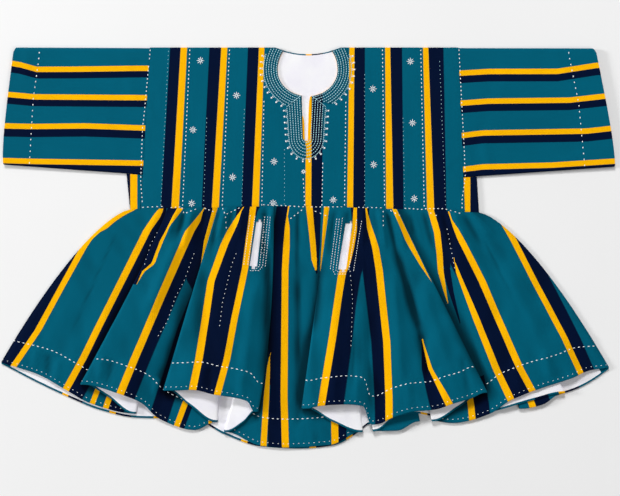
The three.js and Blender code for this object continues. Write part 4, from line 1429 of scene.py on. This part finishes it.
def neckStitches():
    found, beads = [], []
    steps = np.linspace(0.004, 0.996, sewing["neckSteps"])
    for shape in (leftHalf, rightHalf, slitBand):
        for k in range(sewing["neckRows"]):
            out = np.full(len(steps), sewing["firstNeckRow"] + sewing["neckSpread"] / sewing["neckRows"] * k)
            path = np.stack(shape(steps, out), axis=1)
            path = path[path[:, 1] < shoulderAt(path[:, 0]) - sewing["neckBelowShoulder"]]
            found += rowOf(path, "neck")
        edge = np.stack(shape(steps, np.full(len(steps), picot["edgeShare"])), axis=1)
        edge = edge[edge[:, 1] < bodice["shoulderY"] - picot["belowShoulder"]]
        found += rowOf(edge, "neck", sewing["edgeOfNeckPitch"])
        middle = neck["slitX"] if shape is slitBand else neck["x"]
        for x, y, angle in zip(*alongPath(edge, sewing["picotPitch"])):
            centreY = max(y, slitShape["straightTo"]) if shape is slitBand else neck["y"]
            away = Vector((x - middle, y - centreY)).normalized()
            ahead = Vector((math.cos(angle), math.sin(angle)))
            if abs(away.dot(ahead)) > 0.8:    # the row's straight ends have no loops
                continue
            place = Vector((x, y))
            beads.append((*(place + away * picot["bead"]), angle, *sewing["bead"]))
            for lean in (-1, 1):
                foot, tip = place + ahead * lean * picot["half"], place + away * picot["loop"]
                toTip = tip - foot
                beads.append((*((foot + tip) / 2), math.atan2(toTip.y, toTip.x), *sewing["loop"]))
    for side in (-1, 1):
        corner = [(neck["slitX"] + side * x, y) for x, y in mitreRow]
        found += rowOf(corner, "neck", sewing["cornerPitch"])
    return found, beads


def starArm(x, y, k, reach, length, thickness):
    angle = k * 2 * math.pi / star["arms"]
    return (x + math.cos(angle) * reach, y + math.sin(angle) * reach, angle, length, *thickness)


def starStitches():
    longest, *thickness = sewing["arm"]
    found = []
    for x, y in stars:
        for k in range(star["arms"]):
            length = longest * (star["shorter"] if k % 2 else 1)
            found.append(starArm(x, y, k, star["gap"] + length / 2, length, thickness))
    middle, reach, length = (star["slitX"], star["slitY"]), star["slitReach"], star["slitLength"]
    found += [starArm(*middle, k, reach, length, thickness) for k in range(star["arms"])]
    return found


def rowsOf(paths, *kindAndPitch):
    return [stitch for path in paths for stitch in rowOf(path, *kindAndPitch)]


neckRows, picots = neckStitches()
sewn = {
    "seamStitches": rowsOf(bodiceRows + waistRows) + rowsOf(skirtSeamRows, "skirt"),
    "faintStitches": rowsOf(bodiceFaintRows, "faint"),
    "pocketStitches": rowsOf(pocketRows, "loop", sewing["pocketPitch"]),
    "cuffStitches": rowsOf(cuffRows, "seam", sewing["cuffPitch"]),
    "hemStitches": [*hemStitches(frontSurface, skirt["upperHemRow"]),
                    *hemStitches(frontSurface, skirt["hemRow"], "edge")],
    "neckStitches": neckRows,
    "picots": picots,
    "stars": starStitches(),
}
for name, stitches in sewn.items():
    isBlue = name in ("faintStitches", "neckStitches")
    sew(name, stitches, blueThread if isBlue else whiteThread)
print("sewn", sum(len(stitches) for stitches in sewn.values()), "stitches")


# What each sheet was cut from.

for piece, flat, restsOn, share in [
    (skirtFront, (2.15, 0.50), ["skirtBack", "floor"], 0.79),
    (skirtBack, (1.75, 0.50), ["floor"], 0.79),
    (skirtFrontLining, (2.15, 0.18), ["skirtFront"], 0.92),
    (skirtBackLining, (1.75, 0.17), ["skirtBack"], 0.9),
    (bodiceFront, (0.75, 0.37), ["bodiceLining"], 0.94),
    (bodiceBack, (0.75, 0.37), ["floor"], 0.98),
    (bodiceLining, (0.74, 0.36), ["bodiceBack"], 0.98),
    (pocketBagLeft, (0.055, 0.16), ["skirtFront"], 0.93),
    (pocketBagRight, (0.075, 0.17), ["skirtFront"], 0.94),
    (neckBandLeft, (0.19, 0.03), ["bodiceFront"], 0.8),
    (neckBandRight, (0.19, 0.03), ["bodiceFront"], 0.8),
    (slitBandPiece, (0.29, 0.03), ["bodiceFront"], 0.92),
    (slitFacings[0], (0.055, 0.01), ["bodiceFront"], 0.65),
    (slitFacings[1], (0.1, 0.01), ["bodiceFront"], 0.65),
]:
    flat[0] * flat[1] * share


# Floor, light and camera.

studio = {
    "floor": linear(246, 246, 246), "bump": (0.02, 0.0002),
    "floorSize": 9, "floorDrop": 0.0004,    # in metres; the floor lies just under the cloth
    "room": 0.26,    # how strong the light is that comes from everywhere
    "lights": [
        # name, place, size, power
        ("mainLight", (-1.8, 9.0, 7.6), 2.4, 880),
        ("sideLight", (-9.4, 1.2, 3.0), 1.6, 640),
        ("fillLight", (6.0, -5.4, 8.0), 4.0, 190),
    ],
    # where the camera looks, how wide a strip it sees, how far above it hangs, and its lens
    "middle": (0.0046, -0.0023), "width": 1.426, "distance": 2.6, "lens": 50,
}


def makeStudio(looks):
    deselectAll()
    bpy.ops.mesh.primitive_plane_add(size=looks["floorSize"], location=(0, 0, -looks["floorDrop"]))
    floor = bpy.context.object
    floor.name = "floor"
    bpy.ops.object.transform_apply(location=True)
    material, start, shader = newMaterial("paleFloor", {"Specular IOR Level": 0.1})
    place = start.make("ShaderNodeTexCoord", out=3)
    patch = place.noise(scale=3, detail=2)
    colour = start.tinted(looks["floor"][:3], 0.985 + patch * 0.03)
    joinTo(start, shader, colour, 0.9 + patch * 0.02, patch, looks["bump"])
    floor.data.materials.append(material)

    world = bpy.data.worlds.new("softRoom")
    bpy.context.scene.world = world
    world.use_nodes = True
    background = world.node_tree.nodes["Background"]
    background.inputs["Color"].default_value = (1, 1, 1, 1)
    background.inputs["Strength"].default_value = looks["room"]
    for name, place, size, power in looks["lights"]:
        bpy.ops.object.light_add(type="AREA", location=place)
        light = bpy.context.object
        light.name = name
        light.data.energy, light.data.size = power, size
        light.rotation_euler = (-Vector(place)).to_track_quat("-Z", "Y").to_euler()

    camera = bpy.data.cameras.new("camera")
    camera.lens = looks["lens"]
    camera.sensor_width = looks["width"] / looks["distance"] * looks["lens"]
    holder = bpy.data.objects.new("camera", camera)
    bpy.context.scene.collection.objects.link(holder)
    holder.location = (*looks["middle"], looks["distance"])
    bpy.context.scene.camera = holder
    bpy.context.scene.view_settings.view_transform = "Standard"


makeStudio(studio)
print("studio made")
